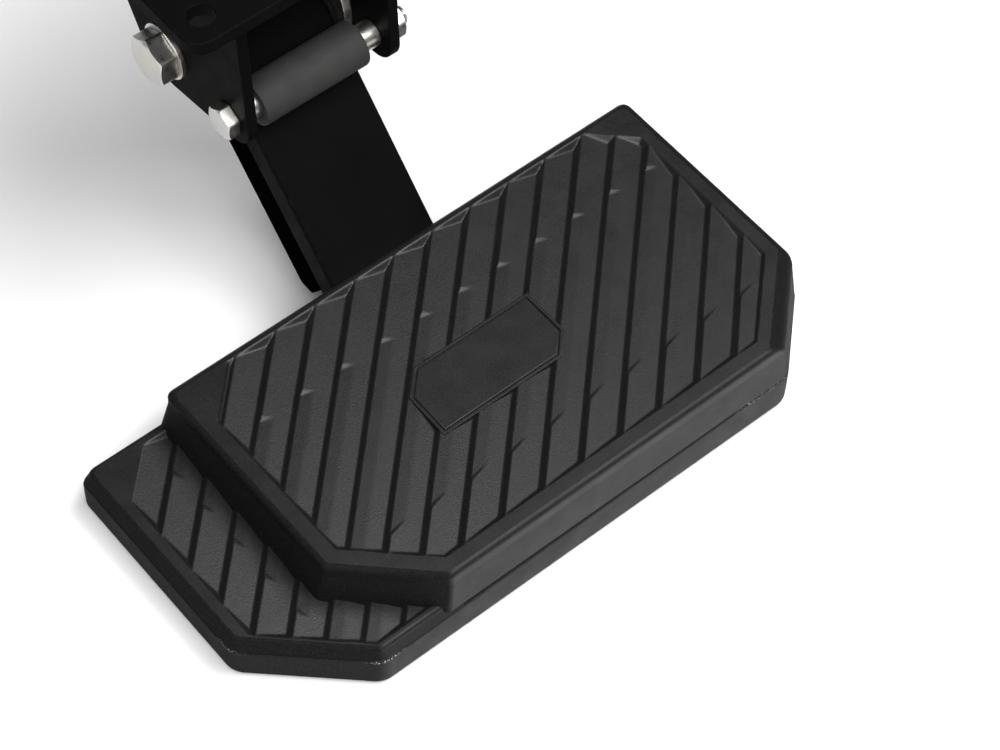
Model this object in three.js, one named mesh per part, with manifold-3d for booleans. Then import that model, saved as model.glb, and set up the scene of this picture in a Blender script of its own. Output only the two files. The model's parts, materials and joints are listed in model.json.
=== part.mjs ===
// Folding bumper-corner step: a two-level tread on a box-section arm that swings under the vehicle
// about one horizontal pivot, held in a forked bracket under the frame rail and locked by an index plunger.
// Millimetres, +Z up, +X along the tread, -Y outboard; origin at the centre of the bracket's mounting face.
import * as THREE from 'three';
import { mergeVertices } from 'three/addons/utils/BufferGeometryUtils.js';
import Module from 'manifold-3d';

const wasm = await Module();
wasm.setup();

// ---- tread, measured from the middle of the raised deck's top face ----
const DECK_LEFT = -114.8;
const DECK_RIGHT = 162;
const DECK_HALF_DEPTH = 78.7;
const DECK_CHAMFER_LEFT = [40, 38.4];
const DECK_CHAMFER_RIGHT = [42.5, 40.2];
const LOW_LEFT = -162;
const LOW_CHAMFER = [47.6, 44.8];
const LOW_DROP = 22.9;
const COVER_EDGE_RAISED = -27.4;
const COVER_EDGE_LOW = -30.3;
const COVER_STEP_X = -69;
const TREAD_BOTTOM = -49.5;
const SEAM = 0.6;
// rounding of the upper edge of each side face, in the same order
const DECK_EDGE_RADII = [2.8, 2.8, 2.8, 8.5, 4.5, 4.5];
const LOW_EDGE_RADII = [2.2, 2.2, 2.2, 0, 2.2];
const SKIRT_EDGE_RADIUS = 3;
const LIP_STEP = 0.4;
// distance of each side face outside the deck outline, at the top and at the cover's lower edge:
// left riser, left chamfer, front, right chamfer, right, rear
const DECK_SIDE_TOP = [2, 2, 2, 7, 4, 1.8];
const DECK_SIDE_EDGE = [7.5, 5.1, 4, 10, 5, 3];
const LOW_SIDE_TOP = [1.6, 1.6, 1.6, 0, 1.8];
const LOW_SIDE_EDGE = [4, 4, 4, 0, 3];
const SKIRT_SIDE = [4, 4, 4, 10, 5, 3];
const COVER_WALL = 3.2;
const DECK_UNDERSIDE = -5.8;
const LOW_UNDERSIDE = -26.9;
const TOP_CORNER = 5;
// corner roundings of the outline at the parting line, from the rear left counter-clockwise
const SKIRT_CORNERS = [5, 12, 12, 12, 7, 7];

// ---- ribbed fields ----
const RIB_PITCH = 23.6;
const RIB_PHASE = 10.8;
const RIB_DEPTH = 3;
const RIB_STEEP = 3.2;
const RIB_RELIEF = 0.7;
const RELIEF_SHARE = 1 / 3;
const RELIEF_Y = [-46, 40];
const RELIEF_X = -132;
const FIELD = [[-107, 52], [-107, -36.7], [-71.3, -70.9], [117.6, -70.9],
  [155.6, -34.9], [155.6, 55.8], [135.4, 75.2], [-84, 75.2]];
const LOW_RIB_PHASE = -115.7;
const LOW_FIELD = [[-156.5, 53], [-156.5, -36.8], [-114.6, -76.4], [-76, -76.4],
  [-112, -41.5], [-112, 75.4], [-134.1, 75.4]];

// ---- plaque seat in the raised deck ----
const PLAQUE = [[-28.3, 5.3], [-28.3, -17.6], [39.5, -17.6], [48.9, -7.8], [48.9, 16.5], [-17.5, 16.5]];
const PLAQUE_MARGIN = 2.2;
const PLAQUE_SEAT = -3.4;
const PLAQUE_TOP = -0.4;

// ---- arm: box beam of two channels, leaning back from the tread's rear edge ----
const ARM_X = [-17.3, 45.1];
const ARM_LEAN = THREE.MathUtils.degToRad(46.8);
const ARM_FOOT = [81, -4.5];
const ARM_TO_PIVOT = 135;
const UPPER_DEPTH = 16;
const UPPER_WALL = 4;
const LOWER_DEPTH = 38;
const LOWER_WALL = 3.5;
const LOWER_INSET = 1;
const FOOT_TOP = -6.3;
const FOOT_BEND = 10;
const FOOT_END_Y = -58;
const FOOT_PLATE = { x: [-47, 75], y: [-62, 62], thickness: 5 };
const FOOT_BOLTS = [[-32, -35], [-32, 35], [60, -35], [60, 35]];

// ---- pivot ----
const HUB_RADIUS = 16;
const HUB_BORE = 11.2;
const HUB_X = [-20, 51];
const PIVOT_DEPTH = 20.2;
const BUSH_BORE = 8.1;
const BUSH_FLANGE = 2;
const BOLT_RADIUS = 8;
const WASHER = 1;
const CHEEK = 6;
const INDEX_X = [45.6, 50.6];
const INDEX_RADIUS = 38;
const INDEX_CIRCLE = 30;
const SWING = 145;

// ---- lock plunger ----
const PIN_RADIUS = 4;
const PIN_CLEARANCE = 0.25;
const PIN_ANGLE = THREE.MathUtils.degToRad(120);
const PIN_TIP_X = 52.2;

// ---- bracket ----
const CHEEK_HEIGHT = 70;
const MOUNT_PLATE = { halfX: 72, y: [-66, 60], thickness: 8 };
const MOUNT_HOLES = { x: 57, y: 48, radius: 6.5 };
const STOP_SPACER_RADIUS = 7;
const STOP_SLEEVE_RADIUS = 12;
const STOP_GAP = 0.3;
const STOP_ALONG = [36, 40];

const AXIS_U = [Math.cos(ARM_LEAN), Math.sin(ARM_LEAN)];
const AXIS_N = [Math.sin(ARM_LEAN), -Math.cos(ARM_LEAN)];
const alongArm = (s, d) => [
  ARM_FOOT[0] + s * AXIS_U[0] + d * AXIS_N[0],
  ARM_FOOT[1] + s * AXIS_U[1] + d * AXIS_N[1],
];
const PIVOT = alongArm(ARM_TO_PIVOT, PIVOT_DEPTH);
const CHEEK_IN_LEFT = HUB_X[0] - BUSH_FLANGE - WASHER - 0.2;
const CHEEK_IN_RIGHT = HUB_X[1] + BUSH_FLANGE + WASHER + 0.2;
const BRACKET_X = (CHEEK_IN_LEFT + CHEEK_IN_RIGHT) / 2;
const MOUNT_Z = PIVOT[1] + CHEEK_HEIGHT + MOUNT_PLATE.thickness;
const MOUNT_Y = PIVOT[0] + (MOUNT_PLATE.y[0] + MOUNT_PLATE.y[1]) / 2;

const STEEL = { color: 0x8d9094, roughness: 0.35, metalness: 1 };
const BLACK_STEEL = { color: 0x17181a, roughness: 0.45, metalness: 0.3 };
const BLACK_PLASTIC = { color: 0x1b1c1d, roughness: 0.6, metalness: 0 };
const DARK_PLASTIC = { color: 0x26272a, roughness: 0.62, metalness: 0 };
const RUBBER = { color: 0x121212, roughness: 0.85, metalness: 0 };
const BRONZE = { color: 0xa3793f, roughness: 0.4, metalness: 1 };

const group = new THREE.Group();
group.name = 'tailgate_step';
const assembly = new THREE.Group();
assembly.name = 'assembly';
assembly.position.set(-BRACKET_X, -MOUNT_Y, -MOUNT_Z);
group.add(assembly);

// ---- outline helpers ----
function circle(cx, cy, r, n = 24) {
  return Array.from({ length: n }, (_, i) => {
    const a = (2 * Math.PI * (i + 0.5)) / n;
    return [cx + r * Math.cos(a), cy + r * Math.sin(a)];
  });
}

function hexagon(cx, cy, acrossFlats) {
  return circle(cx, cy, acrossFlats / Math.sqrt(3), 6);
}

function arc(cx, cy, r, from, to, n) {
  return Array.from({ length: n + 1 }, (_, i) => {
    const a = from + ((to - from) * i) / n;
    return [cx + r * Math.cos(a), cy + r * Math.sin(a)];
  });
}

function rectangle(x, y) {
  return [[x[0], y[0]], [x[1], y[0]], [x[1], y[1]], [x[0], y[1]]];
}

// moves every edge of a counter-clockwise outline outward by its own distance
function offset(outline, distances) {
  const n = outline.length;
  const lines = outline.map((p, i) => {
    const q = outline[(i + 1) % n];
    const length = Math.hypot(q[0] - p[0], q[1] - p[1]);
    const dir = [(q[0] - p[0]) / length, (q[1] - p[1]) / length];
    const d = Array.isArray(distances) ? distances[i] : distances;
    return { p: [p[0] + dir[1] * d, p[1] - dir[0] * d], dir };
  });
  return lines.map((line, i) => {
    const last = lines[(i + n - 1) % n];
    const cross = last.dir[0] * line.dir[1] - last.dir[1] * line.dir[0];
    const dx = line.p[0] - last.p[0];
    const dy = line.p[1] - last.p[1];
    const t = (dx * line.dir[1] - dy * line.dir[0]) / cross;
    return [last.p[0] + last.dir[0] * t, last.p[1] + last.dir[1] * t];
  });
}

function rounded(outline, radius, n = 4) {
  const count = outline.length;
  return outline.flatMap((p, i) => {
    const r = Array.isArray(radius) ? radius[i] : radius;
    const corner = new THREE.Vector2(...p);
    const before = new THREE.Vector2(...outline[(i + count - 1) % count]).sub(corner).normalize();
    const after = new THREE.Vector2(...outline[(i + 1) % count]).sub(corner).normalize();
    const half = Math.acos(THREE.MathUtils.clamp(before.dot(after), -1, 1)) / 2;
    const reach = r / Math.tan(half);
    const curve = new THREE.QuadraticBezierCurve(
      corner.clone().addScaledVector(before, reach),
      corner,
      corner.clone().addScaledVector(after, reach),
    );
    return curve.getPoints(n).map((v) => [v.x, v.y]);
  });
}

function hull(points) {
  const sorted = [...points].sort((a, b) => a[0] - b[0] || a[1] - b[1]);
  const turn = (o, a, b) => (a[0] - o[0]) * (b[1] - o[1]) - (a[1] - o[1]) * (b[0] - o[0]);
  const chain = (list) => {
    const out = [];
    for (const p of list) {
      while (out.length > 1 && turn(out[out.length - 2], out[out.length - 1], p) <= 1e-6) {
        out.pop();
      }
      out.push(p);
    }
    out.pop();
    return out;
  };
  return [...chain(sorted), ...chain(sorted.reverse())];
}

// ---- solids ----
function solid(geometry) {
  const bare = geometry.clone();
  bare.deleteAttribute('normal');
  bare.deleteAttribute('uv');
  const merged = mergeVertices(bare, 1e-5);
  const mesh = new wasm.Mesh({
    numProp: 3,
    vertProperties: new Float32Array(merged.attributes.position.array),
    triVerts: new Uint32Array(merged.index.array),
  });
  return new wasm.Manifold(mesh);
}

function extruded(outline, depth) {
  const shape = new THREE.Shape(outline.map(([a, b]) => new THREE.Vector2(a, b)));
  return new THREE.ExtrudeGeometry(shape, { depth, bevelEnabled: false, steps: 1 });
}

// outline in (x, y), standing between two heights
function upright(outline, z0, z1) {
  return solid(extruded(outline, z1 - z0).translate(0, 0, z0));
}

const TO_X = new THREE.Matrix4().makeBasis(
  new THREE.Vector3(0, 1, 0),
  new THREE.Vector3(0, 0, 1),
  new THREE.Vector3(1, 0, 0),
);

// outline in (y, z), running between two x positions
function across(outline, x0, x1) {
  return solid(extruded(outline, x1 - x0).applyMatrix4(TO_X).translate(x0, 0, 0));
}

// block through a list of [height, outline] levels, bottom first, all with matching corners
function stacked(levels) {
  const n = levels[0][1].length;
  const positions = levels.flatMap(([z, outline]) => outline.flatMap(([x, y]) => [x, y, z]));
  const top = (levels.length - 1) * n;
  const flat = (outline) => {
    const corners = outline.map(([x, y]) => new THREE.Vector2(x, y));
    return THREE.ShapeUtils.triangulateShape(corners, []);
  };
  const index = flat(levels[0][1]).flatMap(([a, b, c]) => [c, b, a]);
  index.push(...flat(levels[levels.length - 1][1]).flatMap(([a, b, c]) => [a + top, b + top, c + top]));
  for (let level = 0; level < levels.length - 1; level += 1) {
    for (let i = 0; i < n; i += 1) {
      const a = level * n + i;
      const b = level * n + ((i + 1) % n);
      index.push(a, b, b + n, a, b + n, a + n);
    }
  }
  const geometry = new THREE.BufferGeometry();
  geometry.setAttribute('position', new THREE.Float32BufferAttribute(positions, 3));
  geometry.setIndex(index);
  return solid(geometry);
}

function tapered(lower, z0, upper, z1) {
  return stacked([[z0, lower], [z1, upper]]);
}

// levels of a rounded upper edge whose side face stands `side` outside the outline
function edgeLevels(outline, side, zTop, radii, corner) {
  const deepest = Math.max(...radii);
  const drawIn = (r, depth) => (depth < r ? r - Math.sqrt(r * r - (r - depth) ** 2) : 0);
  return [90, 62, 42, 26, 12, 0].map((degrees) => {
    const depth = deepest * (1 - Math.cos(THREE.MathUtils.degToRad(degrees)));
    const reach = side.map((d, i) => d - drawIn(radii[i], depth));
    return [zTop - depth, rounded(offset(outline, reach), corner)];
  });
}

function shaped(manifold) {
  const mesh = manifold.getMesh();
  const geometry = new THREE.BufferGeometry();
  geometry.setAttribute('position', new THREE.BufferAttribute(new Float32Array(mesh.vertProperties), 3));
  geometry.setIndex(new THREE.BufferAttribute(new Uint32Array(mesh.triVerts), 1));
  geometry.computeVertexNormals();
  return geometry;
}

function add(name, manifold, finish) {
  const mesh = new THREE.Mesh(shaped(manifold), new THREE.MeshStandardMaterial(finish));
  mesh.name = name;
  assembly.add(mesh);
}

// ---- tread outlines, counter-clockwise from the rear left ----
const DECK = [
  [DECK_LEFT, DECK_HALF_DEPTH],
  [DECK_LEFT, -DECK_HALF_DEPTH + DECK_CHAMFER_LEFT[1]],
  [DECK_LEFT + DECK_CHAMFER_LEFT[0], -DECK_HALF_DEPTH],
  [DECK_RIGHT - DECK_CHAMFER_RIGHT[0], -DECK_HALF_DEPTH],
  [DECK_RIGHT, -DECK_HALF_DEPTH + DECK_CHAMFER_RIGHT[1]],
  [DECK_RIGHT, DECK_HALF_DEPTH],
];
const LOW = [
  [LOW_LEFT, DECK_HALF_DEPTH],
  [LOW_LEFT, -DECK_HALF_DEPTH + LOW_CHAMFER[1]],
  [LOW_LEFT + LOW_CHAMFER[0], -DECK_HALF_DEPTH],
  [COVER_STEP_X, -DECK_HALF_DEPTH],
  [COVER_STEP_X, DECK_HALF_DEPTH],
];
const OVERALL = [LOW[0], LOW[1], LOW[2], DECK[3], DECK[4], DECK[5]];
const LOW_CORNERS = [...SKIRT_CORNERS.slice(0, 3), 0.5, 0.5];
const LOW_TOP_CORNERS = [TOP_CORNER, TOP_CORNER, TOP_CORNER, 0.5, 0.5];
const DECK_EDGE_CORNERS = [TOP_CORNER, TOP_CORNER, TOP_CORNER, ...SKIRT_CORNERS.slice(3)];

// saw-tooth ribs at 45 degrees: each falls away from its left edge, then rises steeply to the next;
// inside the relief the raised left edge of every rib is planed off, running out over a shallow ramp
function ribCutter(outline, phase, count, base, relief) {
  const width = RIB_PITCH / Math.SQRT2;
  const span = 400;
  const tooth = [[0, 0], [width - RIB_STEEP, -RIB_DEPTH], [width, 0], [width, 6], [0, 6]];
  const plane = -RIB_DEPTH * ((width * RELIEF_SHARE) / (width - RIB_STEEP));
  const meet = width * RELIEF_SHARE;
  const planed = [[-0.9, -RIB_RELIEF + 0.08], [meet, plane], [meet, 1], [-0.9, 1]];
  const run = (profile, i) => {
    const c = phase + RIB_PITCH * i;
    const place = new THREE.Matrix4().makeBasis(
      new THREE.Vector3(Math.SQRT1_2, -Math.SQRT1_2, 0),
      new THREE.Vector3(0, 0, 1),
      new THREE.Vector3(-Math.SQRT1_2, -Math.SQRT1_2, 0),
    );
    place.setPosition(c / 2, -c / 2, base);
    return solid(extruded(profile, span).translate(0, 0, -span / 2).applyMatrix4(place));
  };
  const each = (profile) => wasm.Manifold.union(Array.from({ length: count }, (_, i) => run(profile, i)));
  const field = tapered(offset(outline, -2.7), base - RIB_DEPTH - 0.2, offset(outline, 0.9), base + 1);
  const zone = tapered(offset(relief, -3.2), base - 1.6, offset(relief, 3.4), base + 1);
  return each(tooth).add(each(planed).intersect(zone)).intersect(field);
}

// ---- tread cover: two-level moulding, open below, hung over the frame ----
const inset = (sides) => sides.map((d) => (d === 0 ? 0 : d - COVER_WALL));
const raisedBlock = stacked([
  [COVER_EDGE_RAISED, rounded(offset(DECK, DECK_SIDE_EDGE), DECK_EDGE_CORNERS)],
  ...edgeLevels(DECK, DECK_SIDE_TOP, 0, DECK_EDGE_RADII, TOP_CORNER),
]);
const lowBlock = stacked([
  [COVER_EDGE_LOW, rounded(offset(LOW, LOW_SIDE_EDGE), LOW_CORNERS)],
  ...edgeLevels(LOW, LOW_SIDE_TOP, -LOW_DROP, LOW_EDGE_RADII, LOW_TOP_CORNERS),
]);
const raisedHollow = stacked([
  [COVER_EDGE_RAISED - 6, offset(DECK, inset(DECK_SIDE_EDGE))],
  [COVER_EDGE_RAISED, offset(DECK, inset(DECK_SIDE_EDGE))],
  [DECK_UNDERSIDE, offset(DECK, inset(DECK_SIDE_TOP))],
]);
const lowHollow = stacked([
  [COVER_EDGE_LOW - 6, offset(LOW, inset(LOW_SIDE_EDGE))],
  [COVER_EDGE_LOW, offset(LOW, inset(LOW_SIDE_EDGE))],
  [LOW_UNDERSIDE, offset(LOW, inset(LOW_SIDE_TOP))],
]);
const COVER_BOSSES = [[-88, -50], [-88, 58], [118, -46], [132, 58]];
const FLOOR_TOP = -27.6;
const FLOOR_BOTTOM = -31.6;
const armWindow = upright(
  rectangle([ARM_X[0] - 1, ARM_X[1] + 1], [73, 90]),
  COVER_EDGE_LOW - 8,
  -4.5,
);
const plaqueSeat = upright(offset(PLAQUE, 0.15), PLAQUE_SEAT, 5);
const plaqueBorder = upright(offset(PLAQUE, PLAQUE_MARGIN), -10, 10);
const bosses = wasm.Manifold.union(
  COVER_BOSSES.map(([x, y]) => upright(circle(x, y, 6, 20), FLOOR_TOP + 0.2, DECK_UNDERSIDE + 1)),
);
const bossHoles = wasm.Manifold.union(
  COVER_BOSSES.map(([x, y]) => upright(circle(x, y, 2.8, 16), FLOOR_TOP - 5, -12)),
);
const deckRelief = rectangle([-200, 200], RELIEF_Y);
const lowRelief = rectangle([RELIEF_X, 0], [-200, 200]);
const deckRibs = ribCutter(FIELD, RIB_PHASE - 8 * RIB_PITCH, 17, 0, deckRelief);
const lowRibs = ribCutter(LOW_FIELD, LOW_RIB_PHASE - 5 * RIB_PITCH, 12, -LOW_DROP, lowRelief);
const cover = raisedBlock
  .add(lowBlock)
  .subtract(raisedHollow.add(lowHollow))
  .add(bosses)
  .subtract(bossHoles)
  .subtract(deckRibs.subtract(plaqueBorder))
  .subtract(lowRibs.subtract(raisedBlock))
  .subtract(plaqueSeat)
  .subtract(armWindow);
add('tread_cover', cover, BLACK_PLASTIC);

add('badge_plate', upright(PLAQUE, PLAQUE_SEAT + 0.05, PLAQUE_TOP), BLACK_PLASTIC);

// ---- tread frame: skirt, floor and webs under the cover ----
const skirtTop = COVER_EDGE_RAISED - SEAM;
const innerEdge = offset(OVERALL, -3.6);
const skirtSide = SKIRT_SIDE.map((d) => d + LIP_STEP);
const skirtLevel = (z, grow) => [z, rounded(offset(OVERALL, skirtSide.map((d) => d + grow)), SKIRT_CORNERS)];
const skirt = stacked([
  skirtLevel(TREAD_BOTTOM, -SKIRT_EDGE_RADIUS),
  skirtLevel(TREAD_BOTTOM + 0.4, -SKIRT_EDGE_RADIUS / 2),
  skirtLevel(TREAD_BOTTOM + 1.5, -SKIRT_EDGE_RADIUS / 8),
  skirtLevel(TREAD_BOTTOM + 3, 0.2),
  skirtLevel(skirtTop - 0.6, 0),
  skirtLevel(skirtTop, -0.5),
]);
const skirtHollow = stacked([
  [TREAD_BOTTOM - 5, offset(OVERALL, -0.5)],
  [TREAD_BOTTOM + 12, offset(OVERALL, -0.5)],
  [FLOOR_BOTTOM - 1.4, offset(OVERALL, -5.5)],
  [FLOOR_BOTTOM, offset(OVERALL, -5.5)],
]);
const lowShoulder = upright(rectangle([-200, COVER_STEP_X + SEAM], [-120, 120]), COVER_EDGE_LOW - SEAM, 0)
  .subtract(upright(innerEdge, -60, 10));
const floor = upright(innerEdge, FLOOR_BOTTOM, FLOOR_TOP);
const WEBS_X = [-112, -62, 14, 92, 146];
const WEBS_Y = [-66, 0, 70];
const web = (x, y) => upright(rectangle(x, y), TREAD_BOTTOM + 5, FLOOR_BOTTOM + 1);
const webs = WEBS_X.map((x) => web([x - 1.5, x + 1.5], [-90, 90]))
  .concat(WEBS_Y.map((y) => web([-180, 180], [y - 1.5, y + 1.5])));
const frameHoles = FOOT_BOLTS.map(([x, y]) => upright(circle(x, y, 5.4, 16), -60, 0))
  .concat(COVER_BOSSES.map(([x, y]) => upright(circle(x, y, 3.4, 16), -60, 0)));
const frame = skirt
  .subtract(lowShoulder)
  .subtract(skirtHollow)
  .add(floor)
  .add(wasm.Manifold.union(webs).intersect(upright(offset(OVERALL, 0.5), -60, 0)))
  .subtract(wasm.Manifold.union(frameHoles))
  .subtract(upright(rectangle([ARM_X[0] - 1, ARM_X[1] + 1], [73, 90]), -40, 0));
add('tread_frame', frame, DARK_PLASTIC);

// ---- arm ----
const bendCentre = [ARM_FOOT[0], FOOT_TOP + FOOT_BEND];
{
  // slide the bend along the foot until the sloping face leaves it tangentially
  const drop = FOOT_BEND * (1 - Math.cos(ARM_LEAN));
  const leave = alongArm((FOOT_TOP + drop - ARM_FOOT[1]) / AXIS_U[1], 0);
  bendCentre[0] = leave[0] - FOOT_BEND * Math.sin(ARM_LEAN);
}
const bend = (radius) => arc(...bendCentre, radius, -Math.PI / 2 + ARM_LEAN, -Math.PI / 2, 8);
const armAngle = (a) => ARM_LEAN - a;
const headArc = (radius, from, to) => arc(...PIVOT, radius, armAngle(from), armAngle(to), 14);
const upperEdgeAngle = Math.asin((UPPER_DEPTH - PIVOT_DEPTH) / PIVOT_DEPTH);
const soleCorner = alongArm(
  (FOOT_TOP - UPPER_DEPTH - alongArm(0, UPPER_DEPTH)[1]) / AXIS_U[1],
  UPPER_DEPTH,
);
const upperSide = [
  ...headArc(PIVOT_DEPTH, upperEdgeAngle, -Math.PI / 2),
  ...bend(FOOT_BEND),
  [FOOT_END_Y, FOOT_TOP],
  [FOOT_END_Y, FOOT_TOP - UPPER_DEPTH],
  soleCorner,
];
const upperPocket = [
  alongArm(180, UPPER_WALL),
  ...bend(FOOT_BEND + UPPER_WALL),
  [FOOT_END_Y - 5, FOOT_TOP - UPPER_WALL],
  [FOOT_END_Y - 5, FOOT_TOP - UPPER_DEPTH - 5],
  [soleCorner[0], FOOT_TOP - UPPER_DEPTH - 5],
  alongArm(180, UPPER_DEPTH + 12),
];
const hubClearance = across(circle(...PIVOT, HUB_RADIUS + 0.25, 32), -80, 120);
const armUpper = across(upperSide, ...ARM_X)
  .subtract(across(upperPocket, ARM_X[0] + UPPER_WALL, ARM_X[1] - UPPER_WALL))
  .subtract(hubClearance);
add('arm_upper_channel', armUpper, BLACK_STEEL);

const lowerTop = UPPER_DEPTH + 0.3;
const lowerRadius = LOWER_DEPTH - PIVOT_DEPTH;
const lowerSide = [
  alongArm(-3, lowerTop),
  alongArm(-6, 33),
  alongArm(-1, LOWER_DEPTH),
  ...headArc(lowerRadius, Math.PI / 2, Math.asin((lowerTop - PIVOT_DEPTH) / lowerRadius)),
];
const lowerPocket = [
  alongArm(3, lowerTop - 5),
  alongArm(1, LOWER_DEPTH - LOWER_WALL),
  alongArm(180, LOWER_DEPTH - LOWER_WALL),
  alongArm(180, lowerTop - 5),
];
const lowerX = [ARM_X[0] + LOWER_INSET, ARM_X[1] - LOWER_INSET];
const armLower = across(lowerSide, ...lowerX)
  .subtract(across(lowerPocket, lowerX[0] + LOWER_WALL, lowerX[1] - LOWER_WALL))
  .subtract(hubClearance);
add('arm_lower_channel', armLower, BLACK_STEEL);

const soleZ = FOOT_TOP - UPPER_DEPTH;
const footPlate = upright(
  rounded(rectangle(FOOT_PLATE.x, FOOT_PLATE.y), 12),
  soleZ - FOOT_PLATE.thickness,
  soleZ,
).subtract(wasm.Manifold.union(FOOT_BOLTS.map(([x, y]) => upright(circle(x, y, 5.4, 16), -60, 0))));
add('arm_foot_plate', footPlate, BLACK_STEEL);

FOOT_BOLTS.forEach(([x, y], i) => {
  const bolt = upright(hexagon(x, y, 16), soleZ + 0.05, soleZ + 6.4)
    .add(upright(circle(x, y, 5, 16), -46, soleZ + 1));
  add(`foot_bolt_${i + 1}`, bolt, STEEL);
  const nutTop = FLOOR_BOTTOM - 0.6;
  const nut = upright(hexagon(x, y, 16), nutTop - 9.5, nutTop - 1.5)
    .add(upright(circle(x, y, 10.5, 20), nutTop - 2, nutTop))
    .subtract(upright(circle(x, y, 5.1, 16), -60, 0));
  add(`foot_nut_${i + 1}`, nut, STEEL);
});

COVER_BOSSES.forEach(([x, y], i) => {
  const headTop = FLOOR_BOTTOM - 0.6;
  const screw = upright(circle(x, y, 5.5, 20), headTop - 3.4, headTop)
    .add(upright(circle(x, y, 2.6, 16), headTop - 1, -14))
    .subtract(upright(hexagon(x, y, 4), headTop - 5, headTop - 1.4));
  add(`cover_screw_${i + 1}`, screw, STEEL);
});

// ---- pivot pieces ----
const ring = (outer, inner, x0, x1, n = 32) => across(circle(...PIVOT, outer, n), x0, x1)
  .subtract(across(circle(...PIVOT, inner, n), x0 - 1, x1 + 1));
add('pivot_hub', ring(HUB_RADIUS, HUB_BORE, ...HUB_X), BLACK_STEEL);
[['left', HUB_X[0], -1], ['right', HUB_X[1], 1]].forEach(([side, face, way]) => {
  const span = (a, b) => [face + way * a, face + way * b].sort((p, q) => p - q);
  const bush = ring(HUB_BORE - 0.05, BUSH_BORE, ...span(-22, 0.5))
    .add(ring(HUB_RADIUS - 1, BUSH_BORE, ...span(0.05, BUSH_FLANGE)));
  add(`pivot_bush_${side}`, bush, BRONZE);
  const washerSpan = span(BUSH_FLANGE + 0.1, BUSH_FLANGE + 0.1 + WASHER);
  const washer = ring(HUB_RADIUS + 1, BOLT_RADIUS + 0.15, ...washerSpan);
  add(`friction_washer_${side}`, washer, DARK_PLASTIC);
});

const indexHole = (angle) => across(
  circle(PIVOT[0] + INDEX_CIRCLE * Math.cos(angle), PIVOT[1] + INDEX_CIRCLE * Math.sin(angle),
    PIN_RADIUS + PIN_CLEARANCE, 24),
  0,
  80,
);
const indexDisc = ring(INDEX_RADIUS, HUB_RADIUS + 0.1, ...INDEX_X, 48)
  .subtract(indexHole(PIN_ANGLE))
  .subtract(indexHole(PIN_ANGLE - THREE.MathUtils.degToRad(SWING)));
add('index_disc', indexDisc, STEEL);

const headX = CHEEK_IN_LEFT - CHEEK;
const nutX = CHEEK_IN_RIGHT + CHEEK;
const boltEnd = nutX + 27;
const pivotBolt = across(hexagon(...PIVOT, 24), headX - 12.6, headX - 2.6)
  .add(across(circle(...PIVOT, BOLT_RADIUS, 32), headX - 4, boltEnd));
add('pivot_bolt', pivotBolt, STEEL);
add('pivot_washer_head', ring(15, BOLT_RADIUS + 0.15, headX - 2.55, headX - 0.05), STEEL);
add('pivot_washer_spring', ring(15, BOLT_RADIUS + 0.15, nutX + 0.05, nutX + 2.55), STEEL);

// dished spring washer: a cone shell round the bolt, its rim toward the side given
function discSpring(x, way) {
  const inner = BOLT_RADIUS + 0.2;
  const outer = 14.5;
  const rise = 1.6;
  const thick = 1.8;
  const points = [[inner, way > 0 ? rise : 0], [outer, way > 0 ? 0 : rise],
    [outer, (way > 0 ? 0 : rise) + thick], [inner, (way > 0 ? rise : 0) + thick], [inner, way > 0 ? rise : 0]]
    .map(([r, h]) => new THREE.Vector2(r, h));
  const lathe = new THREE.LatheGeometry(points, 28);
  const place = new THREE.Matrix4().makeBasis(
    new THREE.Vector3(0, 1, 0),
    new THREE.Vector3(1, 0, 0),
    new THREE.Vector3(0, 0, -1),
  );
  place.setPosition(x, ...PIVOT);
  return solid(lathe.applyMatrix4(place));
}
add('disc_spring_1', discSpring(nutX + 2.7, 1), STEEL);
add('disc_spring_2', discSpring(nutX + 6.3, -1), STEEL);
const lockNut = across(hexagon(...PIVOT, 24), nutX + 10, nutX + 23)
  .add(across(circle(...PIVOT, 10.6, 24), nutX + 22, nutX + 25.5))
  .subtract(across(circle(...PIVOT, BOLT_RADIUS + 0.1, 32), 0, 200));
add('pivot_locknut', lockNut, STEEL);

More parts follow.
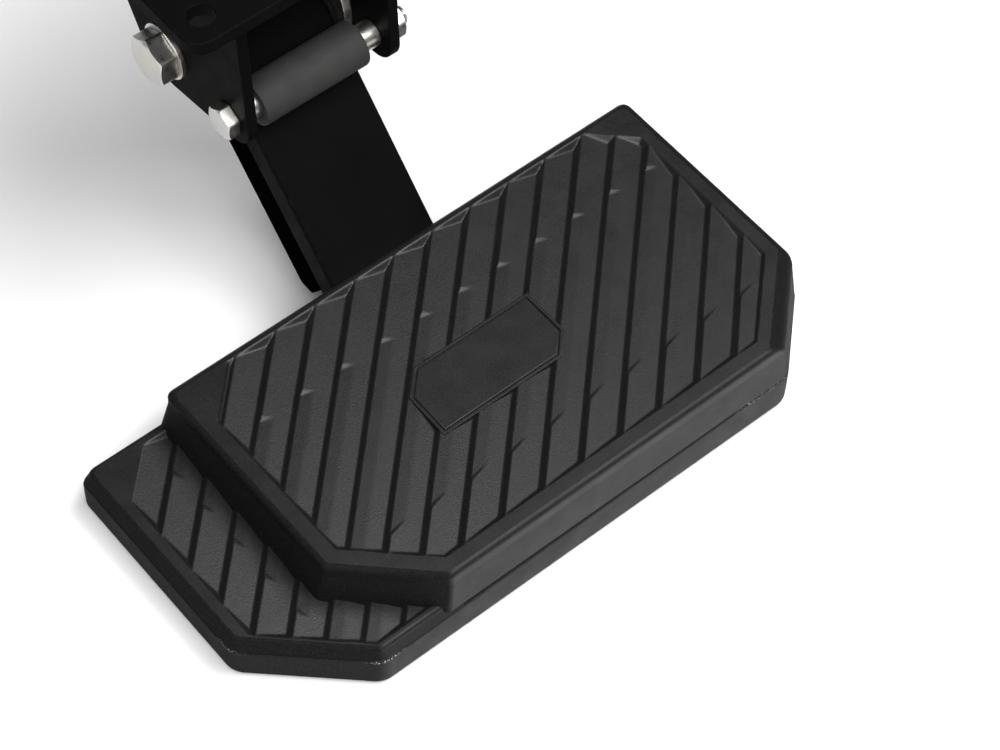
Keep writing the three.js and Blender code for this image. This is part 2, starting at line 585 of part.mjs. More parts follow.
// ---- stops: spacer tubes between the cheeks with rubber sleeves the arm rests on ----
const frontDistance = PIVOT_DEPTH + STOP_SLEEVE_RADIUS + STOP_GAP;
const FRONT_STOP = alongArm(ARM_TO_PIVOT - STOP_ALONG[0], PIVOT_DEPTH - frontDistance);
const swingAngle = THREE.MathUtils.degToRad(SWING);
const rearDistance = LOWER_DEPTH - PIVOT_DEPTH + STOP_SLEEVE_RADIUS + STOP_GAP;
const rearAtRest = [
  -STOP_ALONG[1] * AXIS_U[0] + rearDistance * AXIS_N[0],
  -STOP_ALONG[1] * AXIS_U[1] + rearDistance * AXIS_N[1],
];
const REAR_STOP = [
  PIVOT[0] + rearAtRest[0] * Math.cos(swingAngle) - rearAtRest[1] * Math.sin(swingAngle),
  PIVOT[1] + rearAtRest[0] * Math.sin(swingAngle) + rearAtRest[1] * Math.cos(swingAngle),
];
[['front', FRONT_STOP], ['rear', REAR_STOP]].forEach(([where, at]) => {
  const tube = across(circle(...at, STOP_SPACER_RADIUS), CHEEK_IN_LEFT + 0.05, CHEEK_IN_RIGHT - 0.05)
    .subtract(across(circle(...at, 5.1, 16), -100, 100));
  add(`stop_spacer_${where}`, tube, STEEL);
  const sleeve = across(circle(...at, STOP_SLEEVE_RADIUS, 32), ARM_X[0] + 1, ARM_X[1] - 1)
    .subtract(across(circle(...at, STOP_SPACER_RADIUS + 0.05), -100, 100));
  add(`stop_sleeve_${where}`, sleeve, RUBBER);
  const bolt = across(hexagon(...at, 16), headX - 6.5, headX - 0.05)
    .add(across(circle(...at, 5, 16), headX - 1, nutX + 12));
  add(`stop_bolt_${where}`, bolt, STEEL);
  const nut = across(hexagon(...at, 16), nutX + 0.05, nutX + 8.5)
    .subtract(across(circle(...at, 5.1, 16), 0, 200));
  add(`stop_nut_${where}`, nut, STEEL);
});

// ---- cheeks and mounting plate ----
const PIN_AT = [PIVOT[0] + INDEX_CIRCLE * Math.cos(PIN_ANGLE), PIVOT[1] + INDEX_CIRCLE * Math.sin(PIN_ANGLE)];
const plateUnder = PIVOT[1] + CHEEK_HEIGHT;
const cheekOutline = hull([
  [PIVOT[0] - 58, plateUnder],
  [PIVOT[0] + 54, plateUnder],
  ...circle(...PIVOT, 25, 32),
  ...circle(...FRONT_STOP, 14, 24),
  ...circle(...REAR_STOP, 14, 24),
]);
const cheekHoles = across(circle(...PIVOT, BOLT_RADIUS + 0.15, 32), -100, 120)
  .add(across(circle(...FRONT_STOP, 5.15, 16), -100, 120))
  .add(across(circle(...REAR_STOP, 5.15, 16), -100, 120));
add('cheek_left', across(cheekOutline, headX, CHEEK_IN_LEFT).subtract(cheekHoles), BLACK_STEEL);
const cheekRight = across(cheekOutline, CHEEK_IN_RIGHT, nutX)
  .subtract(cheekHoles)
  .subtract(across(circle(...PIN_AT, 8.1), 0, 120));
add('cheek_right', cheekRight, BLACK_STEEL);

const plateOutline = rounded(
  rectangle(
    [BRACKET_X - MOUNT_PLATE.halfX, BRACKET_X + MOUNT_PLATE.halfX],
    [PIVOT[0] + MOUNT_PLATE.y[0], PIVOT[0] + MOUNT_PLATE.y[1]],
  ),
  12,
  5,
);
const mountHoles = [[-1, -1], [-1, 1], [1, -1], [1, 1]].map(([i, j]) => upright(
  circle(BRACKET_X + i * MOUNT_HOLES.x, MOUNT_Y + j * MOUNT_HOLES.y, MOUNT_HOLES.radius),
  0,
  300,
));
const mountPlate = upright(plateOutline, plateUnder + 0.05, MOUNT_Z).subtract(wasm.Manifold.union(mountHoles));
add('mount_plate', mountPlate, BLACK_STEEL);

[['left', headX - 0.05, -1, 4], ['right', nutX + 0.05, 1, 24]].forEach(([side, x, way, y]) => {
  const brace = [[x, plateUnder - 34], [x + way * 26, plateUnder - 0.05], [x, plateUnder - 0.05]];
  const outline = way > 0 ? brace : brace.reverse();
  const geometry = extruded(outline, 5);
  geometry.applyMatrix4(new THREE.Matrix4().makeRotationX(Math.PI / 2));
  geometry.translate(0, PIVOT[0] + y, 0);
  add(`gusset_${side}`, solid(geometry), BLACK_STEEL);
});

// ---- index plunger, drawn back clear of the disc ----
const pinRing = (outer, inner, x0, x1, n = 24) => across(circle(...PIN_AT, outer, n), x0, x1)
  .subtract(across(circle(...PIN_AT, inner, n), x0 - 1, x1 + 1));
const plungerBody = pinRing(8, PIN_RADIUS + 0.15, CHEEK_IN_RIGHT + 0.5, nutX + 17)
  .add(across(hexagon(...PIN_AT, 22), nutX + 6.5, nutX + 14)
    .subtract(across(circle(...PIN_AT, PIN_RADIUS + 0.15, 24), 0, 120)));
add('plunger_body', plungerBody, STEEL);
const plungerNut = across(hexagon(...PIN_AT, 22), nutX + 0.05, nutX + 6.3)
  .subtract(across(circle(...PIN_AT, 8.1), 0, 120));
add('plunger_nut', plungerNut, STEEL);
add('plunger_pin', across(circle(...PIN_AT, PIN_RADIUS, 24), PIN_TIP_X, nutX + 32), STEEL);
const knobStart = nutX + 24.6;
const knobProfile = [[6.5, 0], [9, 1.5], [12.5, 5], [13.2, 9], [12.4, 13], [9, 16.4], [4, 17.6]];
const knobLathe = new THREE.LatheGeometry(
  [[0, 0], ...knobProfile, [0, 18]].map(([r, h]) => new THREE.Vector2(r, h)),
  24,
);
knobLathe.applyMatrix4(new THREE.Matrix4().makeBasis(
  new THREE.Vector3(0, 1, 0),
  new THREE.Vector3(1, 0, 0),
  new THREE.Vector3(0, 0, -1),
));
knobLathe.translate(knobStart, ...PIN_AT);
const knob = solid(knobLathe).subtract(across(circle(...PIN_AT, PIN_RADIUS + 0.05, 24), 0, nutX + 32.05));
add('plunger_knob', knob, BLACK_PLASTIC);

export default group;
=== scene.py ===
"""Folding tailgate step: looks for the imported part. Metres, in the frame of the CAD model."""
import json
import math

import bmesh
import bpy
import numpy as np
from mathutils import Matrix, Vector
from mathutils.geometry import tessellate_polygon


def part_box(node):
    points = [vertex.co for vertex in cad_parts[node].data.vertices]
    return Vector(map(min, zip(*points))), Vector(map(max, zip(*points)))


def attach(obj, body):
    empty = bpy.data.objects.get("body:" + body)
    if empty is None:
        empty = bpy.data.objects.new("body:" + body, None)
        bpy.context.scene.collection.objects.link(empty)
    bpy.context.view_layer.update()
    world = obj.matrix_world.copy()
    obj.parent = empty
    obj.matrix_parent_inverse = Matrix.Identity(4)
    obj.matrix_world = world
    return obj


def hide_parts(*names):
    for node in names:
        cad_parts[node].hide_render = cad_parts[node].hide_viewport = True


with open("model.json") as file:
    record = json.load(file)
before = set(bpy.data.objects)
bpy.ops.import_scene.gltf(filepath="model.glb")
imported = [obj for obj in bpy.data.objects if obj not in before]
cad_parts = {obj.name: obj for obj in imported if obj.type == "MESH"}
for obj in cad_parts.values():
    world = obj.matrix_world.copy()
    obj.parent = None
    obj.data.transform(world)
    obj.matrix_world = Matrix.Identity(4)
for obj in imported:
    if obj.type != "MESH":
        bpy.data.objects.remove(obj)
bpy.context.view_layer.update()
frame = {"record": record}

MM = 0.001
badge_low, badge_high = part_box("badge_plate")
TREAD = Vector((badge_low[0] + 28.3 * MM, badge_low[1] + 17.6 * MM, badge_high[2] + 0.4 * MM))
ARM, BRACKET, PIN = "arm", "bracket", "lock_pin"


# ---------------------------------------------------------------- materials
class Nodes:
    """Short spellings for building one node material."""

    def __init__(self, name):
        self.material = bpy.data.materials.new(name)
        self.material.use_nodes = True
        self.tree = self.material.node_tree
        self.shader = self.tree.nodes["Principled BSDF"]
        self.place = self.tree.nodes.new("ShaderNodeTexCoord").outputs["Object"]

    def link(self, a, b):
        self.tree.links.new(a, b)

    def noise(self, scale, detail=3.0, rough=0.5, place=None):
        node = self.tree.nodes.new("ShaderNodeTexNoise")
        node.inputs["Scale"].default_value = scale
        node.inputs["Detail"].default_value = detail
        node.inputs["Roughness"].default_value = rough
        self.link(place or self.place, node.inputs["Vector"])
        return node.outputs["Fac"]

    def voronoi(self, scale):
        node = self.tree.nodes.new("ShaderNodeTexVoronoi")
        node.inputs["Scale"].default_value = scale
        self.link(self.place, node.inputs["Vector"])
        return node.outputs["Distance"]

    def ramp(self, value, low, high, a=0.0, b=1.0):
        node = self.tree.nodes.new("ShaderNodeMapRange")
        node.inputs["From Min"].default_value = low
        node.inputs["From Max"].default_value = high
        node.inputs["To Min"].default_value = a
        node.inputs["To Max"].default_value = b
        self.link(value, node.inputs["Value"])
        return node.outputs["Result"]

    def math(self, op, a, b):
        node = self.tree.nodes.new("ShaderNodeMath")
        node.operation = op
        for socket, value in zip(node.inputs, (a, b)):
            if isinstance(value, (int, float)):
                socket.default_value = value
            else:
                self.link(value, socket)
        return node.outputs["Value"]

    def mix(self, fac, a, b):
        node = self.tree.nodes.new("ShaderNodeMix")
        node.data_type = "RGBA"
        self.link(fac, node.inputs["Factor"])
        for socket, value in ((node.inputs[6], a), (node.inputs[7], b)):
            if isinstance(value, tuple):
                socket.default_value = (*value, 1.0)
            else:
                self.link(value, socket)
        return node.outputs[2]

    def away(self, point):
        node = self.tree.nodes.new("ShaderNodeVectorMath")
        node.operation = "DISTANCE"
        self.link(self.place, node.inputs[0])
        node.inputs[1].default_value = point
        return node.outputs["Value"]

    def height_from(self, z):
        split = self.tree.nodes.new("ShaderNodeSeparateXYZ")
        self.link(self.place, split.inputs[0])
        return self.math("ABSOLUTE", self.math("SUBTRACT", split.outputs["Z"], z), 0.0)

    def attribute(self, name):
        node = self.tree.nodes.new("ShaderNodeAttribute")
        node.attribute_name = name
        return node.outputs["Fac"]

    def bump(self, height, strength, distance, after=None):
        node = self.tree.nodes.new("ShaderNodeBump")
        node.inputs["Strength"].default_value = strength
        node.inputs["Distance"].default_value = distance
        self.link(height, node.inputs["Height"])
        if after:
            self.link(after, node.inputs["Normal"])
        return node.outputs["Normal"]

    def finish(self, colour, roughness, normal=None, metallic=0.0, specular=0.5, **sockets):
        self.link(colour, self.shader.inputs["Base Color"])
        self.link(roughness, self.shader.inputs["Roughness"])
        if normal:
            self.link(normal, self.shader.inputs["Normal"])
        self.shader.inputs["Metallic"].default_value = metallic
        self.shader.inputs["Specular IOR Level"].default_value = specular
        for key, value in sockets.items():
            self.shader.inputs[key.replace("_", " ")].default_value = value
        return self.material


def moulded_plastic(name, dark, light, rough, grain=1.0, scuffs=(), specular=0.35):
    """Fine-grained moulding: pebble grain, mottling, duller side walls, pale scuffs at the parting line."""
    n = Nodes(name)
    mottle = n.ramp(n.noise(26, 4), 0.3, 0.7)
    fine = n.noise(1250, 3, 0.75)
    pebble = n.voronoi(1500)
    colour = n.mix(mottle, dark, light)
    speck = n.ramp(fine, 0.44, 0.72, 0.0, 0.75)
    colour = n.mix(speck, colour, tuple(c * 2.1 + 0.004 for c in light))
    for at, reach in scuffs:
        near = n.ramp(n.away(TREAD + Vector(at) * MM), reach * MM, 0.3 * reach * MM)
        chips = n.math("MULTIPLY", near, n.ramp(n.noise(1300, 5, 0.8), 0.56, 0.60))
        band = n.ramp(n.height_from(TREAD.z + at[2] * MM), 0.0013, 0.0005)
        colour = n.mix(n.math("MULTIPLY", chips, band), colour, (0.60, 0.60, 0.58))
    wall = n.attribute("wall")
    roughness = n.ramp(n.noise(75, 5), 0.3, 0.7, rough - 0.05, rough + 0.06)
    roughness = n.math("ADD", roughness, n.math("MULTIPLY", wall, 0.15))
    normal = n.bump(pebble, 0.25 * grain, 0.00015)
    normal = n.bump(fine, 0.40 * grain, 0.0002, normal)
    material = n.finish(colour, roughness, normal)
    n.link(n.ramp(wall, 0, 0.7, specular, 0.02), n.shader.inputs["Specular IOR Level"])
    return material


def powder_coat(name, dark, light, rough, specular=0.015):
    """Powder-coated steel: orange-peel skin, faint dust mottling, barely thinner coat at the edges."""
    n = Nodes(name)
    colour = n.mix(n.ramp(n.noise(22, 4), 0.3, 0.7), dark, light)
    edge = n.math("MULTIPLY", n.attribute("edge"), n.ramp(n.noise(240, 5, 0.7), 0.5, 0.7))
    colour = n.mix(n.math("MULTIPLY", edge, 0.06), colour, (0.09, 0.09, 0.092))
    roughness = n.ramp(n.noise(60, 4), 0.3, 0.7, rough - 0.05, rough + 0.07)
    normal = n.bump(n.noise(900, 2), 0.10, 0.0002)
    normal = n.bump(n.noise(3200, 1), 0.10, 0.00005, normal)
    return n.finish(colour, roughness, normal, specular=specular)


def plated_steel(name, base, tint, rough):
    """Zinc-plated steel: uneven passivation, fine tool marks and grey edges."""
    n = Nodes(name)
    colour = n.mix(n.ramp(n.noise(70, 4), 0.35, 0.65), base, tint)
    edge = n.math("MULTIPLY", n.attribute("edge"), n.ramp(n.noise(500, 4), 0.4, 0.7))
    colour = n.mix(n.math("MULTIPLY", edge, 0.5), colour, (0.36, 0.35, 0.34))
    roughness = n.ramp(n.noise(240, 6, 0.7), 0.3, 0.7, rough - 0.08, rough + 0.12)
    normal = n.bump(n.noise(1800, 3, 0.7), 0.10, 0.00005)
    return n.finish(colour, roughness, normal, metallic=1.0)


def plain_skin(name, dark, light, rough, metallic=0.0, scale=120, bump=0.15):
    n = Nodes(name)
    colour = n.mix(n.ramp(n.noise(scale, 5), 0.3, 0.7), dark, light)
    roughness = n.ramp(n.noise(scale * 2, 4), 0.3, 0.7, rough - 0.05, rough + 0.07)
    normal = n.bump(n.noise(scale * 12, 3), bump, 0.0001)
    return n.finish(colour, roughness, normal, metallic=metallic)


# places on the parting line and how far the scuffing reaches, in millimetres
SCUFFS = (((-166, -33, -30.6), 9), ((-114, -83, -30.6), 13), ((108, -84, -27.7), 14), ((122, -80, -27.7), 9))
MOULDED = moulded_plastic(
    "moulded_deck", (0.0068, 0.0068, 0.0069), (0.0086, 0.0086, 0.0087), 0.40, 1.0, SCUFFS)
SKIRT = moulded_plastic(
    "moulded_skirt", (0.0125, 0.0125, 0.0127), (0.0145, 0.0145, 0.0147), 0.46, 0.8, SCUFFS, 0.2)
PLAQUE = moulded_plastic("moulded_plaque", (0.0078, 0.0078, 0.0079), (0.0092, 0.0092, 0.0093), 0.40, 0.7)
COAT = powder_coat("black_powder_coat", (0.0030, 0.0030, 0.0031), (0.0042, 0.0042, 0.0043), 0.50)
# painted shade: a darker copy of the black powder coat with no specular, so the lower channel reads as the
# shadowed strip under the upper channel
SHADED_COAT = powder_coat("painted_shade_coat", (0.0008, 0.0008, 0.0009), (0.0014, 0.0014, 0.0015), 0.60, 0.0)
ZINC = plated_steel("zinc_plate", (0.60, 0.60, 0.60), (0.66, 0.63, 0.56), 0.32)
BRONZE = plain_skin("sintered_bronze", (0.42, 0.27, 0.11), (0.55, 0.37, 0.17), 0.42, 1.0, 300)
RUBBER = plain_skin("stop_rubber", (0.013, 0.013, 0.013), (0.021, 0.021, 0.02), 0.78, 0.0, 90, 0.3)
ACETAL = plain_skin("washer_acetal", (0.10, 0.10, 0.095), (0.14, 0.14, 0.13), 0.5, 0.0, 200)
KNOB = plain_skin("knob_plastic", (0.012, 0.012, 0.013), (0.018, 0.018, 0.019), 0.30, 0.0, 80, 0.08)
WELD = powder_coat("weld_bead_coat", (0.0042, 0.0042, 0.0044), (0.0065, 0.0065, 0.0067), 0.40)
NYLON = plain_skin("nylon_collar", (0.30, 0.32, 0.36), (0.38, 0.40, 0.44), 0.5, 0.0, 150)


# ---------------------------------------------------------------- outlines, in millimetres about the tread
def offset(outline, distances):
    """Moves every edge of a counter-clockwise outline outward by its own distance."""
    count = len(outline)
    if isinstance(distances, (int, float)):
        distances = [distances] * count
    lines = []
    for i, p in enumerate(outline):
        q = outline[(i + 1) % count]
        length = math.hypot(q[0] - p[0], q[1] - p[1])
        along = ((q[0] - p[0]) / length, (q[1] - p[1]) / length)
        lines.append(((p[0] + along[1] * distances[i], p[1] - along[0] * distances[i]), along))
    corners = []
    for i, (p, d) in enumerate(lines):
        last_p, last_d = lines[i - 1]
        cross = last_d[0] * d[1] - last_d[1] * d[0]
        if abs(cross) < 1e-9:
            corners.append(p)
            continue
        t = ((p[0] - last_p[0]) * d[1] - (p[1] - last_p[1]) * d[0]) / cross
        corners.append((last_p[0] + last_d[0] * t, last_p[1] + last_d[1] * t))
    return corners


def rounded(outline, radii, steps=8):
    count = len(outline)
    if isinstance(radii, (int, float)):
        radii = [radii] * count
    points = []
    for i in range(count):
        corner = Vector(outline[i])
        before = (Vector(outline[i - 1]) - corner).normalized()
        after = (Vector(outline[(i + 1) % count]) - corner).normalized()
        half = math.acos(max(-1, min(1, before.dot(after)))) / 2
        reach = radii[i] / math.tan(half)
        a, b = corner + before * reach, corner + after * reach
        for k in range(steps + 1):
            t = k / steps
            points.append(tuple(a * (1 - t) ** 2 + corner * 2 * t * (1 - t) + b * t * t))
    return points


def circle(cx, cy, r, count=64, turn=0.5):
    angles = [2 * math.pi * (i + turn) / count for i in range(count)]
    return [(cx + r * math.cos(a), cy + r * math.sin(a)) for a in angles]


def arc(cx, cy, r, start, end, count):
    angles = [start + (end - start) * i / count for i in range(count + 1)]
    return [(cx + r * math.cos(a), cy + r * math.sin(a)) for a in angles]


def hull(points):
    points = sorted(set(points))

    def chain(items):
        out = []
        for p in items:
            while len(out) > 1 and (out[-1][0] - out[-2][0]) * (p[1] - out[-2][1]) <= (
                    out[-1][1] - out[-2][1]) * (p[0] - out[-2][0]) + 1e-9:
                out.pop()
            out.append(p)
        return out[:-1]

    return chain(points) + chain(points[::-1])


# ---------------------------------------------------------------- mesh helpers
def settle(bm, name, material, body, node=None, slot=None, smooth=32, place=None):
    """Turns the bmesh into a named object that rides on a body, and stands for a CAD node if one is given."""
    if place:
        bmesh.ops.transform(bm, matrix=place, verts=bm.verts)
    bmesh.ops.recalc_face_normals(bm, faces=bm.faces)
    mesh = bpy.data.meshes.new(name)
    bm.to_mesh(mesh)
    bm.free()
    mesh.materials.append(material)
    obj = bpy.data.objects.new(name, mesh)
    bpy.context.scene.collection.objects.link(obj)
    for face in mesh.polygons:
        face.use_smooth = True
    mesh.set_sharp_from_angle(angle=math.radians(smooth))
    weighted = obj.modifiers.new("weighted_normals", "WEIGHTED_NORMAL")
    weighted.keep_sharp = True
    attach(obj, body)
    if node:
        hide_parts(node)
        slot = slot or next(s["material_slot"] for s in frame["record"]["subparts"] if s["node"] == node)
    return obj


def to_frame(bm):
    """From tread millimetres to metres in the frame of the CAD model."""
    bmesh.ops.transform(bm, matrix=Matrix.Translation(TREAD) @ Matrix.Scale(MM, 4), verts=bm.verts)


def ring_of(bm, points):
    return [bm.verts.new(p) for p in points]


def bridge(bm, a, b, skip=()):
    count = len(a)
    for i in range(count):
        if i not in skip:
            bm.faces.new((a[i], a[(i + 1) % count], b[(i + 1) % count], b[i]))


def cap(bm, outer, holes=()):
    """Flat face through a ring of verts, with rings left open as holes."""
    rings = [outer, *holes]
    flat = [v for ring in rings for v in ring]
    for tri in tessellate_polygon([[v.co for v in ring] for ring in rings]):
        bm.faces.new([flat[i] for i in tri])


def edge_inset(radius, depth):
    """How far a rounded edge of that radius draws in at a depth below the face it runs out on."""
    if depth >= radius or radius <= 0:
        return 0.0
    return radius - math.sqrt(radius * radius - (radius - depth) ** 2)


ORDER = {"X": (2, 0, 1), "Y": (1, 2, 0), "Z": (0, 1, 2)}


def slab(bm, outline, low, high, radii=0.6, holes=(), axis="Z", hole_radius=0.5):
    """Plate with rounded edges, outlined across the axis; holes are (centre a, centre b, radius)."""
    per_edge = [radii] * len(outline) if isinstance(radii, (int, float)) else list(radii)
    biggest = max(per_edge + [hole_radius])
    depths = sorted({round(r * (1 - math.sin(math.radians(a))), 4)
                     for r in {*per_edge, hole_radius, biggest} for a in (0, 22, 45, 68, 90)})
    depths = [d for d in depths if d < (high - low) / 2]
    levels = [(low + d, d) for d in depths] + [(high - d, d) for d in reversed(depths)]

    def place(points, height):
        order = ORDER[axis]
        return [tuple((a, b, height)[k] for k in order) for a, b in points]

    layer = bm.verts.layers.float.get("edge") or bm.verts.layers.float.new("edge")

    def rings(make):
        made = [ring_of(bm, place(make(d), z)) for z, d in levels]
        for ring, (_, d) in zip(made, levels):
            for v in ring:
                v[layer] = 1.0 if 0 < d < 0.5 * biggest else 0.0
        for a, b in zip(made, made[1:]):
            bridge(bm, a, b)
        return made

    outer = rings(lambda d: offset(outline, [-edge_inset(r, d) for r in per_edge]))
    inner = [rings(lambda d: circle(cx, cy, r + edge_inset(hole_radius, d))) for cx, cy, r in holes]
    cap(bm, outer[0], [h[0] for h in inner])
    cap(bm, outer[-1], [h[-1] for h in inner])


def revolve(bm, profile, at, closed=False, count=72, axis="X"):
    """Profile of (along, radius) turned about the axis through a point in the plane across it."""
    order = ORDER[axis]
    rings = []
    for along, r in profile:
        if r < 1e-6:
            rings.append([bm.verts.new(tuple((at[0], at[1], along)[k] for k in order))])
            continue
        rings.append(ring_of(bm, [tuple((a, b, along)[k] for k in order) for a, b in circle(*at, r, count)]))
    pairs = list(zip(rings, rings[1:])) + ([(rings[-1], rings[0])] if closed else [])
    for a, b in pairs:
        if len(a) == 1 or len(b) == 1:
            tip, loop = (a[0], b) if len(a) == 1 else (b[0], a)
            for i in range(count):
                bm.faces.new((loop[i], loop[(i + 1) % count], tip))
        else:
            bridge(bm, a, b)


def soft(profile, radius=0.4, closed=True):
    """Breaks every corner of a lathe profile with a small round."""
    count = len(profile)
    out = []
    for i, p in enumerate(profile):
        if not closed and i in (0, count - 1):
            out.append(p)
            continue
        corner = Vector(p)
        before, after = Vector(profile[i - 1]) - corner, Vector(profile[(i + 1) % count]) - corner
        r = min(radius, before.length * 0.45, after.length * 0.45)
        a, b = corner + before.normalized() * r, corner + after.normalized() * r
        out += [tuple(a), tuple(a * 0.25 + corner * 0.5 + b * 0.25), tuple(b)]
    return out


def hex_prism(bm, at, flats, base, top, bore=0.0, axis="X", chamfer_base=False):
    """Hexagon head or nut with the turned chamfer on its outer face, and on both if asked."""
    order = ORDER[axis]
    count = 96
    way = 1 if top > base else -1
    crown = flats / 2 * 0.96

    def hexed(i):
        a = 2 * math.pi * (i + 0.5) / count
        local = (a + math.pi / 6) % (math.pi / 3) - math.pi / 6
        return a, flats / 2 / math.cos(local)

    def ring_at(height, radius_of):
        points = []
        for i in range(count):
            a, r = hexed(i)
            r, h = radius_of(r, height)
            points.append(tuple((at[0] + r * math.cos(a), at[1] + r * math.sin(a), h)[k] for k in order))
        return ring_of(bm, points)

    fall = math.tan(math.radians(30))
    rings = []
    if bore:
        rings.append(ring_at(base, lambda r, h: (bore, h)))
    if chamfer_base:
        rings.append(ring_at(base, lambda r, h: (crown, h)))
        rings.append(ring_at(base, lambda r, h: (r, h + way * (r - crown) * fall)))
    else:
        rings.append(ring_at(base, lambda r, h: (r - 0.3, h)))
        rings.append(ring_at(base, lambda r, h: (r, h + way * 0.3)))
    rings.append(ring_at(top, lambda r, h: (r, h - way * (r - crown) * fall)))
    rings.append(ring_at(top, lambda r, h: (crown, h)))
    if bore:
        rings.append(ring_at(top, lambda r, h: (bore + 0.8, h)))
        rings.append(ring_at(top, lambda r, h: (bore, h - way * 0.8)))
    for a, b in zip(rings, rings[1:]):
        bridge(bm, a, b)
    if bore:
        bridge(bm, rings[-1], rings[0])
    else:
        cap(bm, rings[0])
        cap(bm, rings[-1])


def threaded(bm, at, r, start, end, pitch, axis="X", count=48, cut=0.55):
    """Screw thread: a tube whose radius follows a helix, with its end chamfered and capped."""
    order = ORDER[axis]
    rows = max(4, int(abs(end - start) / pitch * 8))
    rings = []
    for k in range(rows + 1):
        along = start + (end - start) * k / rows
        points = []
        for i in range(count):
            a = 2 * math.pi * i / count
            phase = (along / pitch - i / count) % 1.0
            groove = cut * pitch * (1 - abs(2 * phase - 1))
            fade = min(1.0, abs(end - along) / 1.2)
            radius = (r - groove) * (0.88 + 0.12 * fade)
            point = (at[0] + radius * math.cos(a), at[1] + radius * math.sin(a), along)
            points.append(tuple(point[j] for j in order))
        rings.append(ring_of(bm, points))
    for a, b in zip(rings, rings[1:]):
        bridge(bm, a, b)
    cap(bm, rings[0])
    cap(bm, rings[-1])


def bead(bm, path, radius, ripple=2.4):
    """Weld bead: a tube along the path with the overlapping ripples of a fillet run."""
    total = 0.0
    rings = []
    for i, p in enumerate(path):
        p = Vector(p)
        ahead = Vector(path[min(i + 1, len(path) - 1)]) - Vector(path[max(i - 1, 0)])
        if i:
            total += (p - Vector(path[i - 1])).length
        side = ahead.normalized().orthogonal().normalized()
        other = ahead.normalized().cross(side)
        swell = 1 + 0.10 * (1 - abs(2 * ((total / ripple) % 1.0) - 1)) + 0.05 * math.sin(total * 0.9)
        end = min(1.0, 0.35 + 0.65 * min(i, len(path) - 1 - i) / 3)
        rings.append(ring_of(bm, [
            p + (side * math.cos(a) + other * math.sin(a)) * radius * swell * end
            for a in [2 * math.pi * k / 14 for k in range(14)]]))
    for a, b in zip(rings, rings[1:]):
        bridge(bm, a, b)
    cap(bm, rings[0])
    cap(bm, rings[-1])


def straight(a, b, step=0.5):
    a, b = Vector(a), Vector(b)
    count = max(6, int((b - a).length / step))
    return [a.lerp(b, i / count) for i in range(count + 1)]


# ---------------------------------------------------------------- tread outlines and heights, in millimetres
DECK = [(-114.8, 78.7), (-114.8, -40.3), (-74.8, -78.7), (119.5, -78.7), (162, -38.5), (162, 78.7)]
LOW = [(-162, 78.7), (-162, -33.9), (-114.4, -78.7), (-69, -78.7), (-69, 78.7)]
OVERALL = [LOW[0], LOW[1], LOW[2], DECK[3], DECK[4], DECK[5]]
LOW_TOP = -22.9
EDGE_RAISED, EDGE_LOW = -27.4, -30.3
BOTTOM = -49.5
STEP_X = -68.4  # the skirt is lower on the side of the low section
CORNERS = [5, 12, 12, 12, 7, 7]
FIELD = [(-107, 52), (-107, -36.7), (-71.3, -70.9), (117.6, -70.9),
         (155.6, -34.9), (155.6, 55.8), (135.4, 75.2), (-84, 75.2)]
LOW_FIELD = [(-156.5, 53), (-156.5, -36.8), (-114.6, -76.4), (-76, -76.4), (-76, 75.4), (-134.1, 75.4)]
PLAQUE_SHAPE = [(-28.3, 5.3), (-28.3, -17.6), (39.5, -17.6), (48.9, -7.8), (48.9, 16.5), (-17.5, 16.5)]
ARM_X = (-17.3, 45.1)
WINDOW_X = (46.1, -18.3)
FIELD_MARGIN = 0.6
TOOTH = 23.6 / math.sqrt(2)
STEEP = 3.2
DEPTH = 3.0


def level(outline, side, corners, z, split=True):
    """One loop of a moulded side wall; the rear edge carries two more points where the arm's window is."""
    points = rounded(offset(outline, side), corners)
    if split:
        rear = points[-1][1]
        points += [(WINDOW_X[0], rear), (WINDOW_X[1], rear)]
    return [(x, y, z) for x, y in points]


def side_levels(outline, top, bottom, z_top, z_bottom, radii, top_corners, bottom_corners, split=True):
    """Loops of a drafted wall from its lower lip up through the rounded upper edge to the flat rim."""
    loops = [level(outline, [d - 0.8 for d in bottom], bottom_corners, z_bottom, split),
             level(outline, [d - 0.25 for d in bottom], bottom_corners, z_bottom + 0.25, split),
             level(outline, bottom, bottom_corners, z_bottom + 0.8, split)]
    deepest = max(radii)
    for degrees in (90, 80, 70, 60, 52, 44, 36, 28, 20, 13, 7, 0):
        depth = deepest * (1 - math.cos(math.radians(degrees)))
        side = [d - edge_inset(r, depth) for d, r in zip(top, radii)]
        loops.append(level(outline, side, top_corners, z_top - depth, split))
    return loops


def moulded_wall(bm, loops, z_window=None):
    """Wall through the loops; faces of the rear window column stay open above a height."""
    layer = bm.verts.layers.float.get("wall") or bm.verts.layers.float.new("wall")
    rings = [ring_of(bm, loop) for loop in loops]
    count = len(rings[0])
    for ring, loop in zip(rings, loops):
        for i, v in enumerate(ring):
            ahead = Vector(loop[(i + 1) % count]) - Vector(loop[i - 1])
            v[layer] = 0.3 + 0.7 * abs(ahead.y) / max(ahead.length, 1e-6) if ring is not rings[-1] else 0.0
    for a, b, low in zip(rings, rings[1:], loops):
        open_here = z_window and z_window[0] - 0.01 <= low[0][2] < z_window[1] - 0.01
        bridge(bm, a, b, skip=(count - 2,) if open_here else ())
    return rings


def smax(a, b, k):
    return np.maximum(a, b) + np.maximum(k - np.abs(a - b), 0) ** 2 / (4 * k)


def smin(a, b, k):
    return -smax(-a, -b, k)


def distance(outline, x, y):
    """Distance outside a convex outline, negative inside, mitred at the corners."""
    worst = np.full_like(x, -1e9)
    for i, (px, py) in enumerate(outline):
        qx, qy = outline[(i + 1) % len(outline)]
        length = math.hypot(qx - px, qy - py)
        worst = np.maximum(worst, ((x - px) * (qy - py) - (y - py) * (qx - px)) / length)
    return worst


